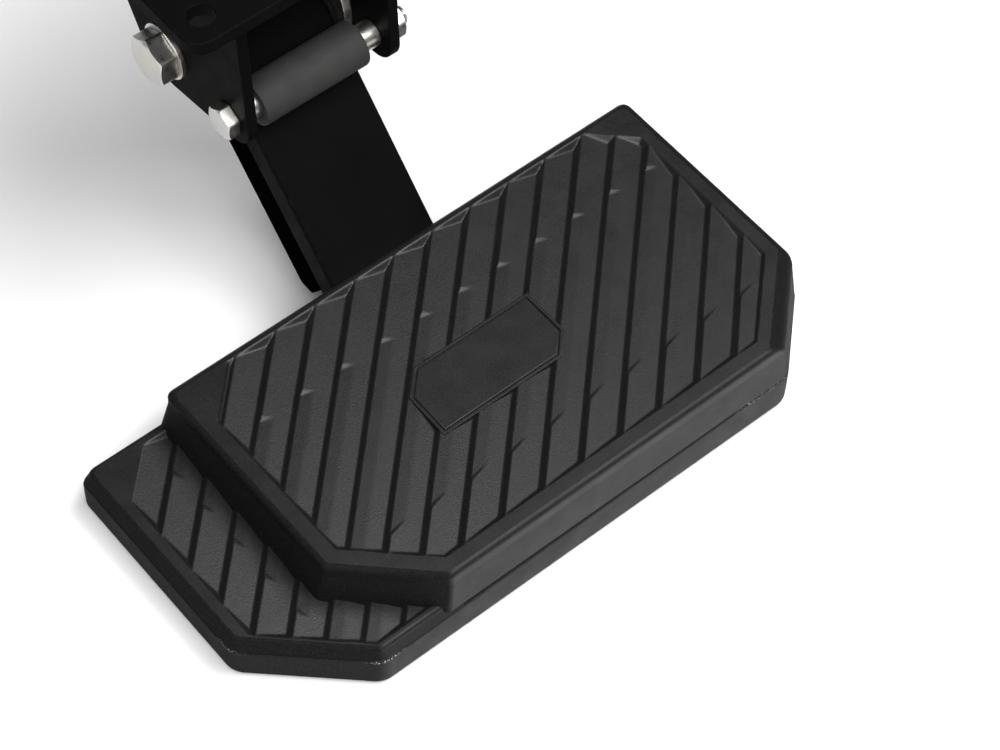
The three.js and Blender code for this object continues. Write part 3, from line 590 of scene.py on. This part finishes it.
def rib_height(x, y, phase, field, relief, walls):
    """Saw-tooth ribs at 45 degrees, planed along the raised edge inside the relief, running out up walls."""
    u = np.mod((x - y - phase) / math.sqrt(2), TOOTH)
    fall = -DEPTH * u / (TOOTH - STEEP)
    rise = -DEPTH + DEPTH * (u - (TOOTH - STEEP)) / STEEP
    next_fall = -DEPTH * (u - TOOTH) / (TOOTH - STEEP)
    last_rise = -DEPTH + DEPTH * (u + STEEP) / STEEP
    saw = smin(smin(smax(fall, rise, 0.5), next_fall, 0.3), last_rise, 0.3)
    turned = np.where(u < TOOTH - STEEP, u, u - TOOTH)
    plane = -0.7 - turned * 0.0966
    ramp = (relief(x, y) + 3.2) / 6.6 * 2.6 - 1.6
    saw = smin(saw, smax(plane, ramp, 0.15), 0.15)
    wall = (distance(field, x, y) + 2.7) / 3.6 * 4.2 - 3.2
    return np.minimum(smax(saw, np.where(walls(x, y), wall, -9), 0.45), 0)


def deck_height(x, y):
    z = rib_height(x, y, 10.8, FIELD, lambda x, y: np.maximum(y - 40, -46 - y), lambda x, y: x > -1e6)
    return np.where(distance(PLAQUE_SHAPE, x, y) < 1.5, -3.3, z)


def low_height(x, y):
    return LOW_TOP + rib_height(x, y, -115.7, LOW_FIELD, lambda x, y: -132 - x, lambda x, y: x < 400)


def ribbed_patch(name, outline, height):
    """Fine grid laid along the ribs, raised to their height and trimmed to the outline."""
    trim = offset(outline, FIELD_MARGIN)
    step_p, step_q = 0.417, 0.7
    xs = [p[0] for p in trim]
    ys = [p[1] for p in trim]
    root = math.sqrt(2)
    p = np.arange((min(xs) - max(ys)) / root, (max(xs) - min(ys)) / root, step_p)
    q = np.arange((min(xs) + min(ys)) / root, (max(xs) + max(ys)) / root, step_q)
    pp, qq = np.meshgrid(p, q, indexing="ij")
    x, y = (pp + qq) / root, (qq - pp) / root
    inside = distance(trim, x, y) < 1.2
    keep = inside[:-1, :-1] & inside[1:, :-1] & inside[1:, 1:] & inside[:-1, 1:]
    z = height(x, y)
    index = np.arange(x.size).reshape(x.shape)
    quads = np.stack([index[:-1, :-1], index[1:, :-1], index[1:, 1:], index[:-1, 1:]], -1)[keep]
    used, back = np.unique(quads, return_inverse=True)
    verts = np.stack([x.ravel()[used], y.ravel()[used], z.ravel()[used]], -1)
    mesh = bpy.data.meshes.new(name)
    mesh.from_pydata(verts.tolist(), [], back.reshape(-1, 4).tolist())
    bm = bmesh.new()
    bm.from_mesh(mesh)
    bpy.data.meshes.remove(mesh)
    for i, a in enumerate(trim):
        b = trim[(i + 1) % len(trim)]
        bmesh.ops.bisect_plane(
            bm, geom=[*bm.verts, *bm.edges, *bm.faces], dist=1e-5, plane_co=(*a, 0),
            plane_no=(b[1] - a[1], a[0] - b[0], 0), clear_outer=True)
    return bm


def add_bmesh(target, source):
    mesh = bpy.data.meshes.new("part")
    source.to_mesh(mesh)
    source.free()
    target.from_mesh(mesh)
    bpy.data.meshes.remove(mesh)


def rim(bm, ring, hole, z):
    cap(bm, ring, [ring_of(bm, [(x, y, z) for x, y in hole])])


def window_reveal(bm, z0, z1, y, depth):
    """Inner faces of the arm's opening through a moulded wall."""
    right, left = WINDOW_X
    corners = (((right, z0), (right, z1)), ((left, z1), (left, z0)),
               ((right, z1), (left, z1)), ((left, z0), (right, z0)))
    for (xa, za), (xb, zb) in corners:
        face = ((xa, y, za), (xb, y, zb), (xb, y - depth, zb), (xa, y - depth, za))
        bm.faces.new([bm.verts.new(c) for c in face])


def build_cover():
    bm = bmesh.new()
    deck_foot = [7.5, 5.1, 4, 10, 5, 3]
    deck_corners = [5, 5, 5, 12, 7, 7]
    top_corners = [5, 5, 5, 5, 5, 5]
    loops = side_levels(DECK, [2, 2, 2, 7, 4, 1.8], deck_foot, 0, EDGE_RAISED,
                        [2.8, 2.8, 2.8, 8.5, 4.5, 4.5], top_corners, deck_corners)
    rings = moulded_wall(bm, loops, (EDGE_RAISED, -4.5))
    rim(bm, rings[-1], offset(FIELD, FIELD_MARGIN), 0)
    inner = [level(DECK, [d - 3.2 for d in deck_foot], deck_corners, z) for z in (EDGE_RAISED, -18)]
    inner_rings = [ring_of(bm, loop) for loop in inner]
    skip = (len(inner_rings[0]) - 2,)
    bridge(bm, rings[0], inner_rings[0], skip)
    bridge(bm, inner_rings[0], inner_rings[1], skip)
    window_reveal(bm, EDGE_RAISED, -4.5, 81.2, 3.5)

    low_corners = [5, 12, 12, 0.5, 0.5]
    loops = side_levels(LOW, [1.6, 1.6, 1.6, 0, 1.8], [4, 4, 4, 0, 3], LOW_TOP, EDGE_LOW,
                        [2.2, 2.2, 2.2, 0, 2.2], [5, 5, 5, 0.5, 0.5], low_corners, split=False)
    rings = moulded_wall(bm, loops)
    rim(bm, rings[-1], offset(LOW_FIELD, FIELD_MARGIN), LOW_TOP)
    inner_ring = ring_of(bm, level(LOW, [0.8, 0.8, 0.8, -2, -0.2], low_corners, EDGE_LOW, split=False))
    bridge(bm, rings[0], inner_ring)
    # raised border round the plaque: how far out and how high each loop lies
    section = ((2.2, -3.4), (2.2, -0.35), (2.1, -0.1), (1.85, -0.02),
               (0.85, -0.02), (0.62, -0.08), (0.55, -0.25), (0.5, -1.2))
    border = [ring_of(bm, [(x, y, z) for x, y in offset(PLAQUE_SHAPE, grow)]) for grow, z in section]
    for a, b in zip(border, border[1:]):
        bridge(bm, a, b)
    cap(bm, border[-1])
    add_bmesh(bm, ribbed_patch("deck_ribs", FIELD, deck_height))
    add_bmesh(bm, ribbed_patch("low_ribs", LOW_FIELD, low_height))
    to_frame(bm)
    return settle(bm, "tread_cover_look", MOULDED, ARM, "tread_cover", smooth=40)


def build_plaque():
    bm = bmesh.new()
    slab(bm, PLAQUE_SHAPE, -3.35, -0.4, 0.7)
    to_frame(bm)
    settle(bm, "badge_plate_look", PLAQUE, ARM, "badge_plate")


def build_frame():
    bm = bmesh.new()
    top = EDGE_RAISED - 0.6
    side = [d + 0.4 for d in (4, 4, 4, 10, 5, 3)]
    loops = []
    for degrees in (90, 75, 60, 45, 30, 15, 0):
        a = math.radians(degrees)
        loops.append((BOTTOM + 3 * (1 - math.sin(a)), -3 * (1 - math.cos(a)) * 0.93))
    loops += [(-40, 0.1), (top - 0.6, 0), (top - 0.18, -0.12), (top, -0.5)]
    loops = [level(OVERALL, [d + grow for d in side], CORNERS, z) for z, grow in loops]
    low_top = EDGE_LOW - 0.6

    def lowered(loop):
        """Drops the lip along the low deck, with a step where the cover's raised edge begins."""
        return [(x, y, min(z, low_top + (z - top)) if x < STEP_X and z > low_top - 0.7 else z)
                for x, y, z in loop]

    loops = [lowered(loop) for loop in loops]
    rings = moulded_wall(bm, loops, (-40, 0))
    inner = [lowered(level(OVERALL, -3.6, CORNERS, z)) for z in (top, -36)]
    inner_rings = [ring_of(bm, loop) for loop in inner]
    skip = (len(inner_rings[0]) - 2,)
    bridge(bm, rings[-1], inner_rings[0], skip)
    bridge(bm, inner_rings[0], inner_rings[1], skip)
    hollow = [ring_of(bm, level(OVERALL, grow, 9, z))
              for z, grow in ((BOTTOM, 0.3), (BOTTOM + 0.5, -0.3), (BOTTOM + 12, -0.9), (-31.6, -1.6))]
    bridge(bm, rings[0], hollow[0])
    for a, b in zip(hollow, hollow[1:]):
        bridge(bm, a, b)
    cap(bm, hollow[-1])
    slab(bm, offset(OVERALL, -4), -31.5, -27.7, 0.3)
    window_reveal(bm, -40, top, 81.9, 3.2)
    inside = offset(OVERALL, 0.2)
    for x in (-112, -62, 14, 92, 146):
        low_y, high_y = crossing(inside, 0, x)
        web = [(x - 1.5, low_y), (x + 1.5, low_y), (x + 1.5, high_y), (x - 1.5, high_y)]
        slab(bm, web, BOTTOM + 5, -31.2, 0.5)
    for y in (-66, 0, 70):
        low_x, high_x = crossing(inside, 1, y)
        web = [(low_x, y - 1.5), (high_x, y - 1.5), (high_x, y + 1.5), (low_x, y + 1.5)]
        slab(bm, web, BOTTOM + 5.02, -31.2, 0.5)
    to_frame(bm)
    settle(bm, "tread_frame_look", SKIRT, ARM, "tread_frame", smooth=40)


def crossing(outline, axis, value):
    """Where a line across the outline enters and leaves it."""
    hits = []
    for i, p in enumerate(outline):
        q = outline[(i + 1) % len(outline)]
        if (p[axis] - value) * (q[axis] - value) < 0:
            t = (value - p[axis]) / (q[axis] - p[axis])
            hits.append(p[1 - axis] + t * (q[1 - axis] - p[1 - axis]))
    return min(hits), max(hits)


# ---------------------------------------------------------------- arm, pivot and bracket
LEAN = math.radians(46.8)
FOOT = (81.0, -4.5)
PIVOT_DEPTH = 20.2
HUB_CLEAR = 16.25
HUB_X = (-20, 51)
IN_LEFT, IN_RIGHT = -23.2, 54.2
HEAD_X, NUT_X = -29.2, 60.2
BRACKET_X = 15.5
AXIS_U = (math.cos(LEAN), math.sin(LEAN))
AXIS_N = (math.sin(LEAN), -math.cos(LEAN))
SWING = math.radians(145)


def along_arm(s, d):
    return (FOOT[0] + s * AXIS_U[0] + d * AXIS_N[0], FOOT[1] + s * AXIS_U[1] + d * AXIS_N[1])


HINGE = along_arm(135, PIVOT_DEPTH)
PIN_AT = (HINGE[0] + 30 * math.cos(math.radians(120)), HINGE[1] + 30 * math.sin(math.radians(120)))
REAR_SIDE = 38 - PIVOT_DEPTH + 12.3
STOPS = {
    "front": along_arm(135 - 36, -12.3),
    "rear": tuple(Vector(HINGE) + Matrix.Rotation(SWING, 2) @ (
        Vector(AXIS_U) * -40 + Vector(AXIS_N) * REAR_SIDE)),
}
UNDER = HINGE[1] + 70
FACE = HINGE[1] + 78


def head_arc(radius, start, end, count=28):
    return arc(*HINGE, radius, LEAN - start, LEAN - end, count)


def piece(name, node, material, body, draw, smooth=34):
    bm = bmesh.new()
    draw(bm)
    to_frame(bm)
    return settle(bm, name, material, body, node, smooth=smooth)


def plate_look(node, material, body, outline, low, high, axis, radii=0.7, holes=(), hole_radius=0.5):
    return piece(node + "_look", node, material, body,
                 lambda bm: slab(bm, outline, low, high, radii, holes, axis, hole_radius))


def build_arm():
    foot_top, bend_radius = -6.3, 10
    leave = along_arm((foot_top + bend_radius * (1 - math.cos(LEAN)) - FOOT[1]) / AXIS_U[1], 0)
    centre = (leave[0] - bend_radius * math.sin(LEAN), foot_top + bend_radius)
    sole = along_arm((foot_top - 16 - along_arm(0, 16)[1]) / AXIS_U[1], 16)
    head = head_arc(PIVOT_DEPTH, math.asin((16 - PIVOT_DEPTH) / PIVOT_DEPTH), -math.pi / 2)
    bend = arc(*centre, bend_radius, -math.pi / 2 + LEAN, -math.pi / 2, 14)
    turn = math.asin((16 - PIVOT_DEPTH) / HUB_CLEAR)
    hub = head_arc(HUB_CLEAR, -math.pi - turn, turn, 60)
    upper = [*head, *bend, (-58, foot_top), (-58, foot_top - 16), sole, *hub]
    radii = [3.0] * (len(head) + len(bend)) + [0.6, 0.6, 0.6] + [0.5] * len(hub)
    if area(upper) < 0:
        upper, radii = upper[::-1], radii[-2::-1] + [radii[-1]]
    plate_look("arm_upper_channel", COAT, ARM, upper, *ARM_X, "X", radii)

    radius = 38 - PIVOT_DEPTH
    head = head_arc(radius, math.pi / 2, math.asin((16.3 - PIVOT_DEPTH) / radius))
    turn = math.asin((16.3 - PIVOT_DEPTH) / HUB_CLEAR)
    hub = head_arc(HUB_CLEAR, turn, math.pi - turn, 80)
    lower = [along_arm(-3, 16.3), along_arm(-6, 33), along_arm(-1, 38), *head, *hub]
    radii = [0.6, 1.5] + [0.6] * (len(head) + 1) + [0.5] * (len(hub) - 1) + [0.6]
    if area(lower) < 0:
        lower, radii = lower[::-1], radii[-2::-1] + [radii[-1]]
    # the lower channel wears the painted-shade copy of the coat, darker and without gloss, standing in for
    # the shadow under the upper channel
    plate_look("arm_lower_channel", SHADED_COAT, ARM, lower, ARM_X[0] + 1, ARM_X[1] - 1, "X", radii)

    foot = rounded([(-47, -62), (75, -62), (75, 62), (-47, 62)], 12)
    plate_look("arm_foot_plate", COAT, ARM, foot, foot_top - 21, foot_top - 16, "Z", 0.5,
               [(x, y, 5.4) for x in (-32, 60) for y in (-35, 35)])


def area(outline):
    return sum(a[0] * b[1] - b[0] * a[1] for a, b in zip(outline, outline[1:] + outline[:1])) / 2


def build_pivot():
    def tube(node, material, body, outer, inner, x0, x1, soft_by=0.5, at=HINGE):
        return piece(node + "_look", node, material, body, lambda bm: revolve(
            bm, soft([(x0, outer), (x1, outer), (x1, inner), (x0, inner)], soft_by), at, closed=True))

    tube("pivot_hub", COAT, ARM, 16, 11.2, *HUB_X, 0.8)
    for side, face, way in (("left", HUB_X[0], -1), ("right", HUB_X[1], 1)):
        profile = [(face - way * 22, 8.1), (face - way * 22, 11.15), (face, 11.15), (face, 15),
                   (face + way * 2, 15), (face + way * 2, 8.1)]
        piece(f"pivot_bush_{side}_look", f"pivot_bush_{side}", BRONZE, ARM,
              lambda bm, profile=profile: revolve(bm, soft(profile, 0.35), HINGE, closed=True))
        x = sorted((face + way * 2.1, face + way * 3.1))
        tube(f"friction_washer_{side}", ACETAL, BRACKET, 17, 8.15, *x, 0.2)

    turns = (math.radians(120), math.radians(120) - SWING)
    pin_holes = [(HINGE[0] + 30 * math.cos(a), HINGE[1] + 30 * math.sin(a), 4.25) for a in turns]
    holes = [(*HINGE, 16.05)] + pin_holes
    plate_look("index_disc", ZINC, ARM, circle(*HINGE, 38, 120), 45.6, 50.6, "X", 0.6, holes, 0.5)

    piece("pivot_bolt_look", "pivot_bolt", ZINC, BRACKET, lambda bm: (
        hex_prism(bm, HINGE, 24, HEAD_X - 2.6, HEAD_X - 12.6),
        revolve(bm, [(HEAD_X - 4, 8), (NUT_X + 6, 8), (NUT_X + 6.01, 7.9)], HINGE, count=64),
        threaded(bm, HINGE, 7.98, NUT_X + 6, NUT_X + 27, 1.75)))
    tube("pivot_washer_head", ZINC, BRACKET, 15, 8.15, HEAD_X - 2.55, HEAD_X - 0.05, 0.35)
    tube("pivot_washer_spring", ZINC, BRACKET, 15, 8.15, NUT_X + 0.05, NUT_X + 2.55, 0.35)
    for number, x, way in ((1, NUT_X + 2.7, 1), (2, NUT_X + 6.3, -1)):
        a, b = (1.6, 0) if way > 0 else (0, 1.6)
        profile = [(x + a, 8.2), (x + b, 14.5), (x + b + 1.8, 14.5), (x + a + 1.8, 8.2)]
        piece(f"disc_spring_{number}_look", f"disc_spring_{number}", ZINC, BRACKET,
              lambda bm, profile=profile: revolve(bm, soft(profile, 0.3), HINGE, closed=True))
    collar = [(NUT_X + 22, 10.6), (NUT_X + 25.5, 10.2), (NUT_X + 25.5, 8.6), (NUT_X + 22, 8.6)]
    piece("pivot_locknut_look", "pivot_locknut", ZINC, BRACKET, lambda bm: (
        hex_prism(bm, HINGE, 24, NUT_X + 10, NUT_X + 23, 8.1, chamfer_base=True),
        revolve(bm, soft(collar, 0.5), HINGE, closed=True)))
    piece("locknut_collar", None, NYLON, BRACKET, lambda bm: revolve(
        bm, soft([(NUT_X + 22.6, 8.7), (NUT_X + 25.1, 8.7), (NUT_X + 25.1, 8.0), (NUT_X + 22.6, 8.0)], 0.2),
        HINGE, closed=True))
    for where, at in STOPS.items():
        tube(f"stop_spacer_{where}", ZINC, BRACKET, 7, 5.1, IN_LEFT + 0.05, IN_RIGHT - 0.05, 0.3, at)
        tube(f"stop_sleeve_{where}", RUBBER, BRACKET, 12, 7.05, ARM_X[0] + 1, ARM_X[1] - 1, 1.2, at)
        piece(f"stop_bolt_{where}_look", f"stop_bolt_{where}", ZINC, BRACKET, lambda bm, at=at: (
            hex_prism(bm, at, 16, HEAD_X - 0.05, HEAD_X - 6.5),
            revolve(bm, [(HEAD_X - 1, 5), (NUT_X - 6, 5), (NUT_X - 5.9, 4.9)], at, count=48),
            threaded(bm, at, 4.98, NUT_X - 6, NUT_X + 12, 1.5)))
        piece(f"stop_nut_{where}_look", f"stop_nut_{where}", ZINC, BRACKET, lambda bm, at=at: hex_prism(
            bm, at, 16, NUT_X + 0.05, NUT_X + 8.5, 5.05, chamfer_base=True))


def build_bracket():
    outline = hull([(HINGE[0] - 58, UNDER), (HINGE[0] + 54, UNDER), *circle(*HINGE, 25, 96),
                    *circle(*STOPS["front"], 14, 72), *circle(*STOPS["rear"], 14, 72)])
    holes = [(*HINGE, 8.15), (*STOPS["front"], 5.15), (*STOPS["rear"], 5.15)]
    plate_look("cheek_left", COAT, BRACKET, outline, HEAD_X, IN_LEFT, "X", 0.8, holes)
    plate_look("cheek_right", COAT, BRACKET, outline, IN_RIGHT, NUT_X, "X", 0.8, [*holes, (*PIN_AT, 8.1)])
    y0, y1 = HINGE[0] - 66, HINGE[0] + 60
    middle = (y0 + y1) / 2
    x0, x1 = BRACKET_X - 72, BRACKET_X + 72
    plate = rounded([(x0, y0), (x1, y0), (x1, y1), (x0, y1)], 12, 10)
    plate_look("mount_plate", COAT, BRACKET, plate, UNDER + 0.05, FACE, "Z", 0.9,
               [(BRACKET_X + i * 57, middle + j * 48, 6.5) for i in (-1, 1) for j in (-1, 1)], 0.6)
    for side, x, way, y in (("left", HEAD_X - 0.05, -1, 4), ("right", NUT_X + 0.05, 1, 24)):
        brace = [(UNDER - 34, x), (UNDER - 0.05, x), (UNDER - 0.05, x + way * 26)]
        brace = brace if area(brace) > 0 else brace[::-1]
        plate_look(f"gusset_{side}", COAT, BRACKET, brace, HINGE[0] + y - 5, HINGE[0] + y, "Y", 0.6)

    def welds(bm):
        for x in (HEAD_X - 0.3, NUT_X + 0.3):
            bead(bm, straight((x, HINGE[0] - 54, UNDER - 0.3), (x, HINGE[0] + 50, UNDER - 0.3)), 2.3)
        for x, way, y in ((HEAD_X, -1, 4), (NUT_X, 1, 24)):
            for edge in (HINGE[0] + y - 5, HINGE[0] + y):
                down, near, far = x + way * 0.3, x + way * 3, x + way * 23
                bead(bm, straight((down, edge, UNDER - 30), (down, edge, UNDER - 3)), 1.6)
                bead(bm, straight((near, edge, UNDER - 0.3), (far, edge, UNDER - 0.3)), 1.6)

    piece("bracket_welds", None, WELD, BRACKET, welds, smooth=60)

    def hub_welds(bm):
        ring = arc(*HINGE, 16.2, LEAN + math.pi * 0.62, LEAN + math.pi * 2.38 - 0.001, 150)
        bead(bm, [(ARM_X[0] - 0.1, a, b) for a, b in ring], 1.5)

    piece("hub_weld", None, WELD, ARM, hub_welds, smooth=60)


def build_plunger():
    bore = 4.15
    barrel = [(NUT_X + 6.4, 7.9), (NUT_X + 17, 7.9), (NUT_X + 17, bore), (NUT_X + 6.4, bore)]
    piece("plunger_body_look", "plunger_body", ZINC, BRACKET, lambda bm: (
        threaded_sleeve(bm, PIN_AT, 8, bore, IN_RIGHT + 0.5, NUT_X + 6.8, 1.5),
        hex_prism(bm, PIN_AT, 22, NUT_X + 6.5, NUT_X + 14, 8, chamfer_base=True),
        revolve(bm, soft(barrel, 0.8), PIN_AT, closed=True)))
    piece("plunger_nut_look", "plunger_nut", ZINC, BRACKET, lambda bm: hex_prism(
        bm, PIN_AT, 22, NUT_X + 0.05, NUT_X + 6.3, 8.05, chamfer_base=True))
    piece("plunger_pin_look", "plunger_pin", ZINC, PIN, lambda bm: revolve(
        bm, [(52.2, 0), (52.2, 2.9), (52.5, 3.3), (53.6, 3.95), (54, 4), (NUT_X + 31.6, 4), (NUT_X + 32, 3.6),
             (NUT_X + 32, 0)], PIN_AT, count=64))
    start = NUT_X + 24.6
    profile = [(0, 4.1), (0, 6.1), (0.4, 6.6), (1.5, 8.9), (3.2, 11.1), (5, 12.4), (7, 13.05), (9, 13.2),
               (11, 13.05), (13, 12.35), (14.8, 11.0), (16.1, 9.2), (17.0, 7.2), (17.5, 5.2),
               (17.3, 4.6), (7.3, 4.1)]
    piece("plunger_knob_look", "plunger_knob", KNOB, PIN, lambda bm: revolve(
        bm, [(start + a, r) for a, r in profile], PIN_AT, closed=True, count=96), smooth=50)


def threaded_sleeve(bm, at, r, bore, start, end, pitch, count=48):
    """Thread outside, plain bore inside."""
    rows = int((end - start) / pitch * 8)
    rings = []
    for k in range(rows + 1):
        x = start + (end - start) * k / rows
        radii = []
        for i in range(count):
            phase = (x / pitch - i / count) % 1.0
            radii.append(r - 0.55 * pitch * (1 - abs(2 * phase - 1)))
        turns = [2 * math.pi * i / count for i in range(count)]
        rings.append(ring_of(bm, [
            (x, at[0] + radius * math.cos(a), at[1] + radius * math.sin(a))
            for radius, a in zip(radii, turns)]))
    inner = [ring_of(bm, [(x, a, b) for a, b in circle(*at, bore, count, 0)]) for x in (end, start)]
    for a, b in zip([*rings, *inner], [*rings[1:], *inner]):
        bridge(bm, a, b)
    bridge(bm, inner[-1], rings[0])


def build_fasteners():
    sole, top = -22.3, -32.2
    flange = [(top, 10.5), (top - 0.9, 10.5), (top - 2, 8.2), (top - 2, 5.1), (top, 5.1)]
    for i, (x, y) in enumerate(((-32, -35), (-32, 35), (60, -35), (60, 35))):
        piece(f"foot_bolt_{i + 1}_look", f"foot_bolt_{i + 1}", ZINC, ARM, lambda bm, at=(x, y): (
            hex_prism(bm, at, 16, sole + 0.05, sole + 6.4, axis="Z"),
            threaded(bm, at, 4.98, sole + 0.5, -46, 1.5, "Z")))
        piece(f"foot_nut_{i + 1}_look", f"foot_nut_{i + 1}", ZINC, ARM, lambda bm, at=(x, y): (
            hex_prism(bm, at, 16, top - 1.5, top - 9.5, 5.05, "Z"),
            revolve(bm, soft(flange, 0.3), at, closed=True, axis="Z")))
    for i, (x, y) in enumerate(((-88, -50), (-88, 58), (118, -46), (132, 58))):
        piece(f"cover_screw_{i + 1}_look", f"cover_screw_{i + 1}", ZINC, ARM, lambda bm, at=(x, y): (
            socket_head(bm, at, top), threaded(bm, at, 2.58, top - 0.6, -14, 1.2, "Z", 24)))


def socket_head(bm, at, top):
    """Low button head seen from below, with a hexagon socket."""
    count = 72
    outer = [(top, 5.5), (top - 1.4, 5.45), (top - 2.6, 4.9), (top - 3.2, 4.0), (top - 3.4, 3.0)]
    rings = [ring_of(bm, [(a, b, z) for a, b in circle(*at, r, count)]) for z, r in outer]
    socket = []
    for i in range(count):
        a = 2 * math.pi * (i + 0.5) / count
        local = (a + math.pi / 6) % (math.pi / 3) - math.pi / 6
        r = 2 / math.cos(local)
        socket.append((at[0] + r * math.cos(a), at[1] + r * math.sin(a)))
    for z in (top - 3.4, top - 1.4):
        rings.append(ring_of(bm, [(a, b, z) for a, b in socket]))
    for a, b in zip(rings, rings[1:]):
        bridge(bm, a, b)
    cap(bm, rings[0])
    cap(bm, rings[-1])


build_cover()
build_plaque()
build_frame()
build_arm()
build_pivot()
build_bracket()
build_plunger()
build_fasteners()


# ---------------------------------------------------------------- stage
def area_light(name, at, towards, size, power, size_y=None):
    data = bpy.data.lights.new(name, "AREA")
    data.energy = power
    data.shape = "RECTANGLE"
    data.size = size
    data.size_y = size_y or size
    obj = bpy.data.objects.new(name, data)
    obj.location = TREAD + Vector(at) * MM
    obj.rotation_euler = (Vector(towards) - Vector(at)).to_track_quat("-Z", "Y").to_euler()
    bpy.context.scene.collection.objects.link(obj)


def stage():
    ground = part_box("tread_frame")[0][2] - 0.0005
    bm = bmesh.new()
    bmesh.ops.create_grid(bm, x_segments=8, y_segments=8, size=6)
    mesh = bpy.data.meshes.new("floor")
    bm.to_mesh(mesh)
    bm.free()
    floor = bpy.data.objects.new("floor", mesh)
    floor.location = (0, 0, ground)
    bpy.context.scene.collection.objects.link(floor)
    n = Nodes("pale_floor")
    colour = n.mix(n.ramp(n.noise(3, 2), 0.3, 0.7), (0.90, 0.90, 0.90), (0.93, 0.93, 0.93))
    mesh.materials.append(n.finish(colour, n.ramp(n.noise(5, 2), 0.3, 0.7, 0.85, 0.95), specular=0.1))

    world = bpy.data.worlds.new("studio")
    world.use_nodes = True
    world.node_tree.nodes["Background"].inputs["Color"].default_value = (1, 1, 1, 1)
    world.node_tree.nodes["Background"].inputs["Strength"].default_value = 0.015
    bpy.context.scene.world = world
    area_light("overhead_softbox", (450, -350, 1300), (0, 0, 0), 1.0, 23, size_y=0.8)
    area_light("camera_side_softbox", (-700, -1000, 1700), (0, 0, 0), 1.6, 44)


def camera():
    data = bpy.data.cameras.new("photo_camera")
    data.sensor_width = 36
    data.lens = 36 * 2988.66 / 1000
    data.clip_start = 0.01
    obj = bpy.data.objects.new("photo_camera", data)
    right = Vector((0.7712883, -0.6361758, 0.0198663))
    up = Vector((0.5158128, 0.6430395, 0.5660720))
    back = Vector((-0.3728961, -0.4263574, 0.8241164))
    at = TREAD + Vector((-508.90978, -604.19296, 1148.26417)) * MM
    obj.matrix_world = Matrix((
        (right.x, up.x, back.x, at.x),
        (right.y, up.y, back.y, at.y),
        (right.z, up.z, back.z, at.z),
        (0, 0, 0, 1)))
    bpy.context.scene.collection.objects.link(obj)
    bpy.context.scene.camera = obj


stage()
camera()
bpy.context.scene.view_settings.view_transform = "Standard"
